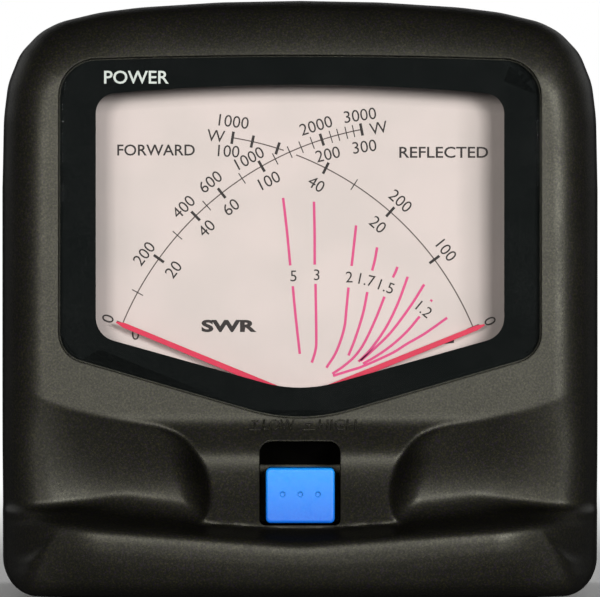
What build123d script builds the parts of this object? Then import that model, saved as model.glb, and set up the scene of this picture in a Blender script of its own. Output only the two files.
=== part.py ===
from build123d import *
import math
import os

import numpy as np

# Cross-needle SWR meter. X right, Y back (the front faces -Y), Z up.
# Heights "u" are measured from the underside of the case, depths "y" from the
# flat frame around the window, back being positive.

os.makedirs("parts", exist_ok=True)

# ---------------------------------------------------------------- dimensions
CASE_W = 100.0            # width over the case
CASE_H = 99.7             # height of the case without feet
FOOT_H = 1.2              # rubber feet below the case
Y0 = -44.5                # where the frame plane lies in the whole part
ZB = FOOT_H               # underside of the case
WALL = 2.4                # moulding thickness
SPLIT = 17.0              # depth where the bezel meets the rear housing
PANEL_Y = 78.0            # inner face of the rear panel
PANEL_T = 2.0
LENS_HALF_W = 40.3
LENS_TOP = 90.4
WINDOW_HALF_W = 34.15
WINDOW_TOP = 85.5
PIVOT_X = 20.1            # the needle axes stand this far from the middle
PIVOT_U = 24.7
NEEDLE_R = 55.2           # axis to needle tip
FORWARD_REST = 157.55     # needle angles at zero, seen from the front
REFLECTED_REST = 21.95
FORWARD_Y = 8.7           # the two needles sweep in two planes
REFLECTED_Y = 9.9
NEEDLE_T = 0.3
DIAL_Y = 11.7
BACK_Y = 12.2             # front face of the meter case's back plate
BACK_T = 1.8
BUTTON_W = 11.5
BUTTON_H = 9.2
BUTTON_U = 16.9
POCKET_HALF_W = 6.75
POCKET_LOW = 11.9
POCKET_HIGH = 26.0
SOCKET_X = 22.0           # coaxial sockets on the rear panel
SOCKET_U = 58.0
SOCKET_THREAD_R = 7.94
SOCKET_END = 94.23
SCREW_POS = [(-43.0, 8.0), (43.0, 8.0), (-43.0, 87.0), (43.0, 87.0)]


def front(y):
    """The plane facing forward at depth y; its own axes are X and height."""
    return Plane(origin=(0, Y0 + y, ZB), x_dir=(1, 0, 0), z_dir=(0, -1, 0))


def save(builder, label):
    builder.part.label = label
    export_step(builder.part, f"parts/{label}.step")


# ---------------------------------------------------------------- case outline
SHOULDER = [
    (50.0, 68.0), (49.75, 80.1), (49.05, 85.8), (47.0, 90.9), (43.6, 94.45),
    (40.3, 96.15), (33.6, 97.75), (26.8, 98.6), (13.4, 99.45), (0.0, CASE_H),
]
BOTTOM_R = 6.3


def shoulder(inset):
    """Points along the right-hand shoulder, moved inwards by inset."""
    if not inset:
        return SHOULDER
    curve = Edge.make_spline([Vector(x, z) for x, z in SHOULDER], tangents=[Vector(0, 1), Vector(-1, 0)])
    moved = []
    for t in np.linspace(0, 1, 25):
        p, d = curve @ t, curve % t
        moved.append((p.X - d.Y * inset, p.Y + d.X * inset))
    return moved


def case_outline(inset=0.0):
    """The closed outline of the case, moved inwards by inset, inside a sketch."""
    h = CASE_W / 2 - inset
    r = BOTTOM_R - inset
    near = r * (1 - math.sqrt(0.5))
    low = inset
    pts = shoulder(inset)
    with BuildLine() as loop:
        Line((-h + r, low), (h - r, low))
        ThreePointArc((h - r, low), (h - near, low + near), (h, low + r))
        Line((h, low + r), pts[0])
        Spline(pts, tangents=[(0, 1), (-1, 0)])
        Spline([(-x, z) for x, z in reversed(pts)], tangents=[(-1, 0), (0, -1)])
        Line((-h, pts[0][1]), (-h, low + r))
        ThreePointArc((-h, low + r), (near - h, low + near), (-h + r, low))
    make_face(loop.edges())


def lens_outline():
    """Window border: arched top, upright sides, rounded-V lower edge."""
    k = 0.289
    low = 28.55
    with BuildLine() as loop:
        ThreePointArc((-LENS_HALF_W, LENS_TOP - 0.8), (0, LENS_TOP), (LENS_HALF_W, LENS_TOP - 0.8))
        Polyline(
            (LENS_HALF_W, LENS_TOP - 0.8), (LENS_HALF_W, low + k * LENS_HALF_W), (0, low),
            (-LENS_HALF_W, low + k * LENS_HALF_W), (-LENS_HALF_W, LENS_TOP - 0.8),
        )
    make_face(loop.edges())


def round_corners(sketch, top_r, side_r, low_r):
    low = sketch.vertices().sort_by(Axis.Y)
    fillet(low[0], low_r)
    side = [v for v in sketch.vertices() if abs(v.X) > 30 and v.Y < 60]
    fillet(side, side_r)
    top = [v for v in sketch.vertices() if abs(v.X) > 30 and v.Y > 70]
    fillet(top, top_r)


# ---------------------------------------------------------------- front relief
def profile(points, sigma=0.45):
    """A rounded curve through straight pieces, as a lookup on height."""
    u = np.arange(-20, 125, 0.05)
    p = np.array(sorted(points))
    y = np.interp(u, p[:, 0], p[:, 1])
    first = (p[1, 1] - p[0, 1]) / (p[1, 0] - p[0, 0])
    y = np.where(u < p[0, 0], p[0, 1] + first * (u - p[0, 0]), y)
    last = (p[-1, 1] - p[-2, 1]) / (p[-1, 0] - p[-2, 0])
    y = np.where(u > p[-1, 0], p[-1, 1] + last * (u - p[-1, 0]), y)
    k = np.exp(-0.5 * (np.arange(-60, 61) * 0.05 / sigma) ** 2)
    pad = np.concatenate([np.full(60, y[0]), y, np.full(60, y[-1])])
    y = np.convolve(pad, k / k.sum(), mode="valid")
    return lambda q: np.interp(q, u, y)


PLATEAU = profile([
    (4, 2.2), (12, -0.4), (15, -1.35), (17, -2.0), (19, -2.55), (20.8, -2.92), (22, -3.05), (23.2, -3.02), (24.2, -2.8),
    (25.4, -2.2), (28.6, -0.3), (29.8, 0.0), (40, 0.0),
])
CHIN = profile([
    (-12, -0.4), (-10, -1.9), (-8, -3.2), (-6, -4.25), (-4, -5.0), (-2, -5.45), (0, -5.6), (1.3, -5.5), (2.0, -5.2),
    (2.9, -2.8), (3.8, -0.4), (5.0, 1.4), (6.4, 3.1), (8, 5.2), (12, 10.4),
], 0.45)
EDGE_U = [8.0, 10.0, 11.9, 13.6, 15.1, 16.8, 19.0, 21.5, 23.4, 25.2, 26.4, 27.2, 28.5, 32.0]
EDGE_A = [22.0, 18.6, 16.5, 15.4, 14.9, 14.75, 14.9, 15.7, 16.7, 17.9, 19.0, 20.0, 22.5, 34.0]
FLOOR_SLOPE = 0.36


def smooth_min(p, q, k):
    h = np.clip(0.5 + 0.5 * (q - p) / k, 0, 1)
    return q * (1 - h) + p * h - k * h * (1 - h)


def ramp(x, lo, hi):
    t = np.clip((x - lo) / (hi - lo), 0, 1)
    return t * t * (3 - 2 * t)


def outline_points():
    """The case outline as a dense loop, for distances to the edge."""
    pts = []
    h = CASE_W / 2
    pts += [(x, 0.0) for x in np.linspace(0, h - BOTTOM_R, 60)]
    t = np.linspace(0, math.pi / 2, 30)[1:]
    pts += list(zip(h - BOTTOM_R + BOTTOM_R * np.sin(t), BOTTOM_R - BOTTOM_R * np.cos(t)))
    pts += [(h, z) for z in np.linspace(BOTTOM_R, SHOULDER[0][1], 80)[1:]]
    s = np.array(SHOULDER)
    d = np.concatenate([[0], np.cumsum(np.hypot(*np.diff(s, axis=0).T))])
    q = np.linspace(0, d[-1], 220)[1:]
    x, z = np.interp(q, d, s[:, 0]), np.interp(q, d, s[:, 1])
    k = np.ones(9) / 9
    xs, zs = x.copy(), z.copy()
    xs[4:-4], zs[4:-4] = np.convolve(x, k, "valid"), np.convolve(z, k, "valid")
    pts += list(zip(xs, zs))
    right = np.array(pts)
    left = right[::-1][1:-1] * [-1, 1]
    return np.vstack([right, left])


def edge_drop(x, u):
    """How far the rounded rim falls back: broad on top, tighter at the sides."""
    loop = outline_points()
    nxt = np.roll(loop, -1, axis=0)
    seg = nxt - loop
    mid = (loop + nxt) / 2
    ln = np.hypot(seg[:, 0], seg[:, 1])
    nrm = np.stack([seg[:, 1], -seg[:, 0]], 1) / ln[:, None]
    flat = np.stack([x.ravel(), u.ravel()], 1)
    out = np.empty(len(flat))
    for i in range(0, len(flat), 2000):
        v = flat[i:i + 2000, None, :] - mid[None]
        dist = np.hypot(v[..., 0], v[..., 1])
        j = dist.argmin(1)
        rows = np.arange(len(j))
        inward = -(v[rows, j] * nrm[j]).sum(1)
        w = np.exp(-(dist - dist[rows, j][:, None]) ** 2 / 2.0) * ln[None]
        nz = (w * nrm[None, :, 1]).sum(1) / w.sum(1)
        up, dn = np.clip(nz, 0, 1) ** 2, np.clip(-nz, 0, 1) ** 2
        wide = 7.8 + 3.2 * (1 - ramp(flat[i:i + 2000, 1], 5, 27))
        rd = wide + (13.0 - wide) * up + (2.7 - wide) * dn
        ry = wide * 1.15 + (7.5 - wide * 1.15) * up + (2.6 - wide * 1.15) * dn
        s = (rd - inward) / (rd * 1.02)
        cap = 0.975
        c = np.clip(s, 0, cap)
        drop = ry * (1 - np.sqrt(1 - c ** 2))
        slope = ry * cap / math.sqrt(1 - cap ** 2)
        out[i:i + 2000] = drop + np.clip(s - cap, 0, None) * slope
    return out.reshape(x.shape)


def relief(x, u):
    """Depth of the moulded front over the frame plane, without the rim."""
    a = np.abs(x)
    crest = 7.3 + 0.078 * (np.sqrt(np.minimum(a, 38) ** 2 + 9) - 3)
    fade = 1 - 0.85 * ramp(a, 32, 50)
    chin = CHIN(u - crest)
    chin = np.where(chin < 0, chin * fade, chin * (1 + 0.8 * ramp(a, 28, 42)))
    body = smooth_min(PLATEAU(u), chin, 0.5)
    crease = 27.5 + 0.235 * (a - 22.5) + 0.9 * ramp(a, 37, 46)
    run = crease - 17.0
    t = (crease - u) / run
    depth = run * FLOOR_SLOPE * (1 - 0.9 * ramp(a, 32, 50))
    inside = np.clip(t, 0, 1)
    floor = np.where(t < 0, 1.4 * depth * t, depth * (inside - inside ** 3.4 / 3.4))
    side = PLATEAU(u) + 1.25 * (a - np.interp(u, EDGE_U, EDGE_A))
    scoop = smooth_min(smooth_min(floor, side, 2.5), chin, 2.4 - 0.6 * ramp(a, 28, 36) + 2.2 * ramp(a, 38, 50))
    return np.maximum(body, scoop)


def surface(step, extra, soft):
    """The front as one freeform face with its creases rounded, set back by extra."""
    xs = np.linspace(-51.5, 51.5, int(103 / step) + 1)
    us = np.linspace(-1.5, 101.2, int(102.7 / step) + 1)
    gx, gu = np.meshgrid(xs, us, indexing="ij")
    shifts = [-soft, -soft / 2, 0, soft / 2, soft]
    y = sum(relief(gx + dx, gu + dz) for dx in shifts for dz in shifts) / 25
    y = y + edge_drop(gx, gu) + extra
    rows = [
        [Vector(float(gx[i, j]), Y0 + float(y[i, j]), ZB + float(gu[i, j])) for j in range(len(us))]
        for i in range(len(xs))
    ]
    return Face.make_surface_from_array_of_points(rows, tol=0.05, min_deg=3, max_deg=3)


# ---------------------------------------------------------------- front bezel
outer_skin = surface(1.2, 0.0, 0.8)
inner_skin = surface(2.4, WALL, 2.0)

with BuildPart() as skin_cutter:
    extrude(to_extrude=outer_skin, amount=40, dir=(0, -1, 0))

with BuildPart() as inner_cutter:
    extrude(to_extrude=inner_skin, amount=40, dir=(0, -1, 0))

with BuildPart() as cavity:
    with BuildSketch(front(-12)):
        case_outline(WALL)
    extrude(amount=-(12 + SPLIT))
    add(inner_cutter.part, mode=Mode.SUBTRACT)
    # what stays standing inside: lens seat, button pocket, corner bosses
    with BuildSketch(front(-12)) as seat:
        lens_outline()
        round_corners(seat, 6.4, 5.0, 30.0)
        offset(amount=1.8)
    extrude(amount=-16.7, mode=Mode.SUBTRACT)
    with BuildSketch(front(-12)):
        with Locations((0, (POCKET_LOW + POCKET_HIGH) / 2)):
            RectangleRounded(2 * POCKET_HALF_W + 2.4, POCKET_HIGH - POCKET_LOW + 2.4, 2.4)
    extrude(amount=-24.2, mode=Mode.SUBTRACT)
    with BuildSketch(front(-12)):
        with Locations(*SCREW_POS):
            Circle(3.0)
        with Locations(*[(math.copysign(46.6, x), z) for x, z in SCREW_POS]):
            Rectangle(2.6, 3.2)
    extrude(amount=-(12 + SPLIT), mode=Mode.SUBTRACT)

with BuildPart() as front_bezel:
    with BuildSketch(front(-12)):
        case_outline()
    extrude(amount=-(12 + SPLIT))
    add(skin_cutter.part, mode=Mode.SUBTRACT)
    add(cavity.part, mode=Mode.SUBTRACT)
    with BuildSketch(front(-12)) as opening:
        lens_outline()
        round_corners(opening, 6.4, 5.0, 30.0)
    extrude(amount=-14.7, mode=Mode.SUBTRACT)
    with BuildSketch(front(0)) as ledge:
        lens_outline()
        round_corners(ledge, 6.4, 5.0, 30.0)
        offset(amount=-2.0)
    extrude(amount=-8, mode=Mode.SUBTRACT)
    with BuildSketch(front(-12)) as pocket:
        with Locations((0, (POCKET_LOW + POCKET_HIGH) / 2)):
            Rectangle(2 * POCKET_HALF_W, POCKET_HIGH - POCKET_LOW)
        fillet(pocket.vertices().group_by(Axis.Y)[-1], 2.0)
        fillet(pocket.vertices().group_by(Axis.Y)[0], 1.0)
    extrude(amount=-23.0, mode=Mode.SUBTRACT)
    # sloping ceiling of the button pocket
    with BuildSketch(Plane.YZ.offset(-POCKET_HALF_W - 0.3)):
        with BuildLine():
            Polyline((Y0 + 0.5, ZB + 26.2), (Y0 + 11.3, ZB + 26.2), (Y0 + 11.3, ZB + 21.6), close=True)
        make_face()
    extrude(amount=2 * POCKET_HALF_W + 0.6)
    with BuildSketch(front(10)):
        with Locations((0, BUTTON_U)):
            Rectangle(4.4, 4.4)
    extrude(amount=-3, mode=Mode.SUBTRACT)
    with BuildSketch(front(SPLIT)):
        with Locations(*SCREW_POS):
            Circle(1.45)
    extrude(amount=9.0, mode=Mode.SUBTRACT)
save(front_bezel, "front_bezel")

# ---------------------------------------------------------------- case
with BuildPart() as rear_housing:
    with BuildSketch(front(SPLIT)):
        case_outline()
    extrude(amount=-(PANEL_Y + PANEL_T - SPLIT))
    with BuildSketch(front(SPLIT)):
        case_outline(WALL)
    extrude(amount=-(PANEL_Y + PANEL_T - SPLIT), mode=Mode.SUBTRACT)
    # bosses for the case screws, also the seats of the rear panel
    with BuildSketch(front(SPLIT)):
        with Locations(*SCREW_POS):
            Circle(3.0)
    extrude(amount=-(PANEL_Y - SPLIT))
    # webs that tie the bosses to the side walls
    with BuildSketch(front(SPLIT)):
        with Locations(*[(math.copysign(46.6, x), z) for x, z in SCREW_POS]):
            Rectangle(2.6, 3.2)
    extrude(amount=-(PANEL_Y - SPLIT))
    with BuildSketch(front(SPLIT)):
        with Locations(*SCREW_POS):
            Circle(1.6)
    extrude(amount=-(PANEL_Y + PANEL_T - SPLIT), mode=Mode.SUBTRACT)
    # air slots through both side walls
    with BuildSketch(Plane.YZ.offset(-60)):
        with Locations(*[(Y0 + 34.0 + 5.0 * i, ZB + 50.0) for i in range(8)]):
            SlotOverall(30.0, 2.2, rotation=90)
    extrude(amount=120, mode=Mode.SUBTRACT)
save(rear_housing, "rear_housing")

with BuildPart() as rear_panel:
    with BuildSketch(front(PANEL_Y)):
        case_outline(WALL + 0.15)
    extrude(amount=-PANEL_T)
    with BuildSketch(front(PANEL_Y)):
        with Locations((-SOCKET_X, SOCKET_U), (SOCKET_X, SOCKET_U)):
            Circle(8.2)
            with GridLocations(18.2, 18.2, 2, 2):
                Circle(1.4)
        with Locations((0, 24.0)):
            Circle(4.1)
        with Locations(*SCREW_POS):
            Circle(1.6)
    extrude(amount=-PANEL_T, mode=Mode.SUBTRACT)
save(rear_panel, "rear_panel")

# four long screws through the rear panel and the housing into the bezel
with BuildPart() as case_screws:
    with BuildSketch(front(PANEL_Y + PANEL_T)):
        with Locations(*SCREW_POS):
            Circle(2.7)
    extrude(amount=-2.0)
    fillet(case_screws.edges().group_by(Axis.Y)[-1], 0.8)
    with BuildSketch(front(PANEL_Y + PANEL_T)):
        with Locations(*SCREW_POS):
            Circle(1.45)
    extrude(amount=PANEL_Y + PANEL_T - 9.5)
    with BuildSketch(front(PANEL_Y + PANEL_T + 2.0)):
        with Locations(*SCREW_POS):
            Rectangle(2.6, 0.6)
            Rectangle(0.6, 2.6)
    extrude(amount=1.1, mode=Mode.SUBTRACT)
save(case_screws, "case_screws")

with BuildPart() as rubber_feet:
    with BuildSketch(Plane.XY):
        with Locations((-36, -20), (36, -20), (-36, 26), (36, 26)):
            Circle(5.0)
    extrude(amount=FOOT_H)
    fillet(rubber_feet.edges().group_by(Axis.Z)[0], 0.4)
save(rubber_feet, "rubber_feet")

# ---------------------------------------------------------------- window
with BuildPart() as meter_lens:
    with BuildSketch(front(0.5)) as glass:
        lens_outline()
        round_corners(glass, 6.4, 5.0, 30.0)
        offset(amount=-0.12)
    extrude(amount=-2.0)
    chamfer(meter_lens.edges().group_by(Axis.Y)[0], 0.55)
save(meter_lens, "meter_lens")


def window_outline():
    """Arched top, upright sides, rounded-V lower edge, a little inside the border."""
    k = 0.28
    low = 33.97
    with BuildLine() as loop:
        ThreePointArc((-WINDOW_HALF_W, WINDOW_TOP - 1.7), (0, WINDOW_TOP), (WINDOW_HALF_W, WINDOW_TOP - 1.7))
        Polyline(
            (WINDOW_HALF_W, WINDOW_TOP - 1.7), (WINDOW_HALF_W, low + k * WINDOW_HALF_W), (0, low),
            (-WINDOW_HALF_W, low + k * WINDOW_HALF_W), (-WINDOW_HALF_W, WINDOW_TOP - 1.7),
        )
    make_face(loop.edges())


with BuildPart() as lens_border_film:
    with BuildSketch(front(2.5)) as border:
        lens_outline()
        round_corners(border, 6.4, 5.0, 30.0)
        offset(amount=-0.25)
    extrude(amount=-0.2)
    with BuildSketch(front(2.0)) as window:
        window_outline()
        round_corners(window, 3.4, 4.0, 23.0)
    extrude(amount=-2.0, mode=Mode.SUBTRACT)
save(lens_border_film, "lens_border_film")

# ---------------------------------------------------------------- meter body
PIVOTS = [(-PIVOT_X, PIVOT_U), (PIVOT_X, PIVOT_U)]
POST_U = PIVOT_U - 11.4

with BuildPart() as meter_case:
    with BuildSketch(front(BACK_Y)) as back_plate:
        with Locations((0, 61.0)):
            RectangleRounded(78.4, 56.4, 4.6)
        with Locations((0, 23.5)):
            RectangleRounded(64.0, 27.0, 3.0)
        with Locations((0, 33.0)):
            Rectangle(64.0, 8.0)
        with Locations((0, 18.75)):
            Rectangle(17.6, 18.5, mode=Mode.SUBTRACT)
        with Locations(*PIVOTS):
            Circle(8.4, mode=Mode.SUBTRACT)
        with Locations((-36.6, 62.0), (36.6, 62.0)):
            Circle(0.8, mode=Mode.SUBTRACT)
    extrude(amount=-BACK_T)
    # posts behind the plate for the switch board
    with BuildSketch(front(BACK_Y + BACK_T)):
        with Locations((-6.5, 32.0), (6.5, 32.0)):
            Circle(1.4)
    extrude(amount=-(24.4 - BACK_Y - BACK_T))
    # walls around the upper part, glued to the ledge behind the lens
    with BuildSketch(front(4.7)) as wall:
        with Locations((0, 61.0)):
            RectangleRounded(78.4, 56.4, 4.6)
            RectangleRounded(76.0, 54.0, 3.4, mode=Mode.SUBTRACT)
        with Locations((0, 35.0)):
            Rectangle(80.0, 20.0, mode=Mode.SUBTRACT)
    extrude(amount=-(BACK_Y - 4.7))
    # openings in the top wall for the two lamps
    with BuildSketch(Plane(origin=(0, 0, ZB + 87.0))):
        with Locations((-18.0, Y0 + 8.3), (18.0, Y0 + 8.3)):
            Circle(1.3)
    extrude(amount=4.0, mode=Mode.SUBTRACT)
save(meter_case, "meter_case")

with BuildPart() as dial_plate:
    with BuildSketch(front(DIAL_Y)):
        with Locations((0, 60.4)):
            RectangleRounded(75.4, 54.6, 3.0)
        with Locations((-36.6, 62.0), (36.6, 62.0)):
            Circle(0.85, mode=Mode.SUBTRACT)
    extrude(amount=-(BACK_Y - DIAL_Y))
save(dial_plate, "dial_plate")

with BuildPart() as dial_screws:
    with BuildSketch(front(DIAL_Y)):
        with Locations((-36.6, 62.0), (36.6, 62.0)):
            Circle(1.05)
    extrude(amount=0.7)
    with BuildSketch(front(DIAL_Y)):
        with Locations((-36.6, 62.0), (36.6, 62.0)):
            Circle(0.78)
    extrude(amount=-2.2)
    with BuildSketch(front(DIAL_Y - 0.7)):
        with Locations((-36.6, 62.0), (36.6, 62.0)):
            Rectangle(1.5, 0.3)
    extrude(amount=-0.3, mode=Mode.SUBTRACT)
save(dial_screws, "dial_screws")


def polar(x, u, r, deg):
    return (x + r * math.cos(math.radians(deg)), u + r * math.sin(math.radians(deg)))


# small posts that hold each needle just under zero and just over full scale
STOPS = {
    "forward": [polar(PIVOT_X, PIVOT_U, 13.0, FORWARD_REST + 6.0),
                polar(PIVOT_X, PIVOT_U, 13.0, FORWARD_REST - 66.0)],
    "reflected": [polar(-PIVOT_X, PIVOT_U, 13.0, REFLECTED_REST - 6.0),
                  polar(-PIVOT_X, PIVOT_U, 13.0, REFLECTED_REST + 66.0)],
}
with BuildPart() as needle_stops:
    for side, ny in (("forward", FORWARD_Y), ("reflected", REFLECTED_Y)):
        for spot, foot in zip(STOPS[side], (BACK_Y, DIAL_Y)):
            with BuildSketch(front(ny - 0.6)):
                with Locations(spot):
                    Circle(0.35)
            extrude(amount=-(foot - ny + 0.6))
save(needle_stops, "needle_stops")

# ---------------------------------------------------------------- movements
JEWEL_TIP = 7.9           # rear end of the front jewel screws
REAR_JEWEL = 26.4         # front end of the rear jewel screws
COIL_FRONT, COIL_BACK = 12.4, 25.6
CORE_Y, CORE_L = 14.0, 10.0



def turned_plane(px, y, deg):
    """A plane facing forward on a needle axis, its X axis turned by deg."""
    t = math.radians(deg)
    return Plane(origin=(px, Y0 + y, ZB + PIVOT_U), x_dir=(math.cos(t), 0, math.sin(t)), z_dir=(0, -1, 0))


for side, px, rest, mid, ny in (
    ("forward", PIVOT_X, FORWARD_REST, 29.0, FORWARD_Y),
    ("reflected", -PIVOT_X, REFLECTED_REST, -29.0, REFLECTED_Y),
):
    axis_plane = Plane(origin=(px, Y0, ZB + PIVOT_U), x_dir=(1, 0, 0), z_dir=(0, -1, 0))

    # needle: ring round the shaft, long tapered pointer, short tail with a cross arm
    with BuildPart() as needle:
        turned = turned_plane(px, ny + NEEDLE_T, rest)
        with BuildSketch(turned):
            Circle(2.2)
            with BuildLine():
                Polyline((0, -0.7), (14, -0.52), (NEEDLE_R - 1.4, -0.42), (NEEDLE_R, -0.12), (NEEDLE_R, 0.12),
                         (NEEDLE_R - 1.4, 0.42), (14, 0.52), (0, 0.7), close=True)
            make_face()
            with Locations((-4.5, 0)):
                Rectangle(5.0, 1.3)
            with Locations((-6.2, 0)):
                Rectangle(1.1, 8.0)
            Circle(0.9, mode=Mode.SUBTRACT)
        extrude(amount=NEEDLE_T)
    save(needle, f"{side}_needle")

    # solder weights on the tail and the cross arm balance the pointer
    with BuildPart() as weights:
        turned = turned_plane(px, ny, rest)
        with BuildSketch(turned):
            with Locations((-6.2, 0), (-6.2, 3.2), (-6.2, -3.2)):
                Circle(0.75)
        extrude(amount=0.45)
        fillet(weights.edges().group_by(Axis.Y)[0], 0.2)
    save(weights, f"{side}_balance_weights")

    # short shafts in front of and behind the coil, ground to fine tips
    with BuildPart() as shafts:
        for y_a, y_b, r in (
            (7.55, 8.0, 0.25), (8.0, 10.6, 0.9), (10.6, COIL_FRONT, 0.5),
            (COIL_BACK, REAR_JEWEL - 0.1, 0.5), (REAR_JEWEL - 0.1, REAR_JEWEL + 0.35, 0.25),
        ):
            with BuildSketch(axis_plane.offset(-y_a)):
                Circle(r)
            extrude(amount=-(y_b - y_a))
    save(shafts, f"{side}_pivot_shafts")

    # moving coil: a closed rectangular loop around the core magnet
    with BuildPart() as coil:
        lying = turned_plane(px, COIL_FRONT, mid)
        with BuildSketch(lying):
            RectangleRounded(13.8, 2.2, 0.6)
        extrude(amount=-(COIL_BACK - COIL_FRONT))
        with BuildSketch(lying.offset(-1.0)):
            Rectangle(11.8, 4.0)
        extrude(amount=-(COIL_BACK - COIL_FRONT - 2.0), mode=Mode.SUBTRACT)
    save(coil, f"{side}_moving_coil")

    # flat spiral springs carry the current and bring the needle back
    with BuildPart() as springs:
        for y_s in (8.15, 26.0):
            r_in = 0.9 if y_s < 20 else 0.5
            turns, steps = 3.25, 66
            width = 0.16
            inner, outer = [], []
            for i in range(steps + 1):
                f = i / steps
                r = r_in + 0.02 + width / 2 + (3.3 - r_in) * f
                t = 2 * math.pi * turns * f
                inner.append(((r - width / 2) * math.cos(t), (r - width / 2) * math.sin(t)))
                outer.append(((r + width / 2) * math.cos(t), (r + width / 2) * math.sin(t)))
            with BuildSketch(axis_plane.offset(-y_s)):
                with BuildLine():
                    Spline(inner)
                    Line(inner[-1], outer[-1])
                    Spline(outer[::-1])
                    Line(outer[0], inner[0])
                make_face()
            extrude(amount=-0.3)
    save(springs, f"{side}_hairsprings")

    # lever on the front bridge that shifts the spring's outer end to set zero
    with BuildPart() as lever:
        with BuildSketch(axis_plane.offset(-7.05)):
            Circle(2.5)
            with Locations((0, -4.6)):
                Rectangle(1.2, 5.4)
            with Locations((0, -7.4)):
                Circle(1.1)
            Circle(1.15, mode=Mode.SUBTRACT)
            with Locations((0, -7.4)):
                SlotOverall(1.3, 0.7, rotation=90, mode=Mode.SUBTRACT)
        extrude(amount=-0.35)
        with BuildSketch(axis_plane.offset(-7.4)):
            with Locations((0, -4.4)):
                Rectangle(0.7, 0.5)
        extrude(amount=-1.0)
    save(lever, f"{side}_zero_lever")

    with BuildPart() as core:
        with BuildSketch(axis_plane.offset(-CORE_Y)):
            Circle(5.2)
        extrude(amount=-CORE_L)
        chamfer(core.edges(), 0.25)
    save(core, f"{side}_core_magnet")

    with BuildPart() as yoke:
        with BuildSketch(axis_plane.offset(-CORE_Y)):
            Circle(9.4)
            Circle(7.6, mode=Mode.SUBTRACT)
        extrude(amount=-CORE_L)
    save(yoke, f"{side}_yoke_ring")

    # two non-magnetic blocks hold the core in the middle of the ring
    with BuildPart() as spacers:
        with BuildSketch(axis_plane.offset(-(CORE_Y + 2.0))):
            Rectangle(3.0, 20.0)
            Circle(5.2, mode=Mode.SUBTRACT)
            with BuildSketch(mode=Mode.INTERSECT):
                Circle(7.6)
        extrude(amount=-6.0)
    save(spacers, f"{side}_magnet_spacers")

    # bridges in front and behind, each on its own post, carry the jewel screws
    with BuildPart() as front_bridge:
        with BuildSketch(axis_plane.offset(-5.95)):
            with Locations((0, -5.0)):
                SlotOverall(17.0, 4.0, rotation=90)
            Circle(1.12, mode=Mode.SUBTRACT)
        extrude(amount=-0.95)
        with BuildSketch(axis_plane.offset(-6.9)):
            with Locations((0, -11.4)):
                Circle(1.6)
        extrude(amount=-(BACK_Y - 6.9))
    save(front_bridge, f"{side}_front_bridge")

    with BuildPart() as rear_bridge:
        with BuildSketch(axis_plane.offset(-27.2)):
            with Locations((0, -5.0)):
                SlotOverall(17.0, 4.0, rotation=90)
            Circle(1.12, mode=Mode.SUBTRACT)
        extrude(amount=-1.2)
        with BuildSketch(axis_plane.offset(-(BACK_Y + BACK_T))):
            with Locations((0, -11.4)):
                Circle(1.55)
        extrude(amount=-(27.2 - BACK_Y - BACK_T))
    save(rear_bridge, f"{side}_rear_bridge")

# four alike: slotted head, barrel, and a cup for the shaft tip
with BuildPart() as jewel_screws:
    for y_head, y_end, into in ((5.0, JEWEL_TIP, 1), (29.6, REAR_JEWEL, -1)):
        with BuildSketch(front(y_head)):
            with Locations(*PIVOTS):
                Circle(1.5)
        extrude(amount=-0.75 * into)
        with BuildSketch(front(y_head + 0.75 * into)):
            with Locations(*PIVOTS):
                Circle(1.1)
        extrude(amount=-(y_end - y_head - 0.75 * into))
        with BuildSketch(front(y_end)):
            with Locations(*PIVOTS):
                Circle(0.32)
        extrude(amount=0.6 * into, mode=Mode.SUBTRACT)
        with BuildSketch(front(y_head)):
            with Locations(*PIVOTS):
                Rectangle(3.4, 0.45)
        extrude(amount=-0.35 * into, mode=Mode.SUBTRACT)
save(jewel_screws, "jewel_screws")

# ---------------------------------------------------------------- lamps
LAMPS = [(-18.0, Y0 + 8.3), (18.0, Y0 + 8.3)]
with BuildPart() as lamps:
    with BuildSketch(Plane(origin=(0, 0, ZB + 86.3))):
        with Locations(*LAMPS):
            Circle(1.0)
    extrude(amount=4.2)
    fillet(lamps.edges().group_by(Axis.Z)[0], 0.9)
save(lamps, "lamps")

with BuildPart() as lamp_strip:
    with BuildSketch(Plane(origin=(0, 0, ZB + 89.2))):
        with Locations((0, Y0 + 8.6)):
            Rectangle(48.0, 6.0)
        with Locations(*LAMPS):
            Circle(1.0, mode=Mode.SUBTRACT)
    extrude(amount=1.3)
save(lamp_strip, "lamp_strip")

# ---------------------------------------------------------------- push button and switch
BUTTON_FRONT, BUTTON_BACK = -0.7, 7.6
with BuildPart() as push_button:
    with BuildSketch(front(BUTTON_FRONT)):
        with Locations((0.05, BUTTON_U)):
            RectangleRounded(BUTTON_W, BUTTON_H, 0.8)
    extrude(amount=-(BUTTON_BACK - BUTTON_FRONT))
    fillet(push_button.edges().group_by(Axis.Y)[0], 0.45)
    with BuildSketch(front(BUTTON_FRONT)):
        with Locations((-2.9, BUTTON_U + 0.2), (0.05, BUTTON_U + 0.2), (3.0, BUTTON_U + 0.2)):
            Circle(0.42)
    extrude(amount=-0.3, mode=Mode.SUBTRACT)
    with BuildSketch(front(BUTTON_BACK)):
        with Locations((0.05, BUTTON_U)):
            Rectangle(BUTTON_W - 2.4, BUTTON_H - 2.4)
            Rectangle(6.0, 5.6, mode=Mode.SUBTRACT)
    extrude(amount=6.4, mode=Mode.SUBTRACT)
    with BuildSketch(front(BUTTON_BACK)):
        with Locations((0, BUTTON_U)):
            Rectangle(3.6, 3.6)
    extrude(amount=4.6, mode=Mode.SUBTRACT)
save(push_button, "push_button")

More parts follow.
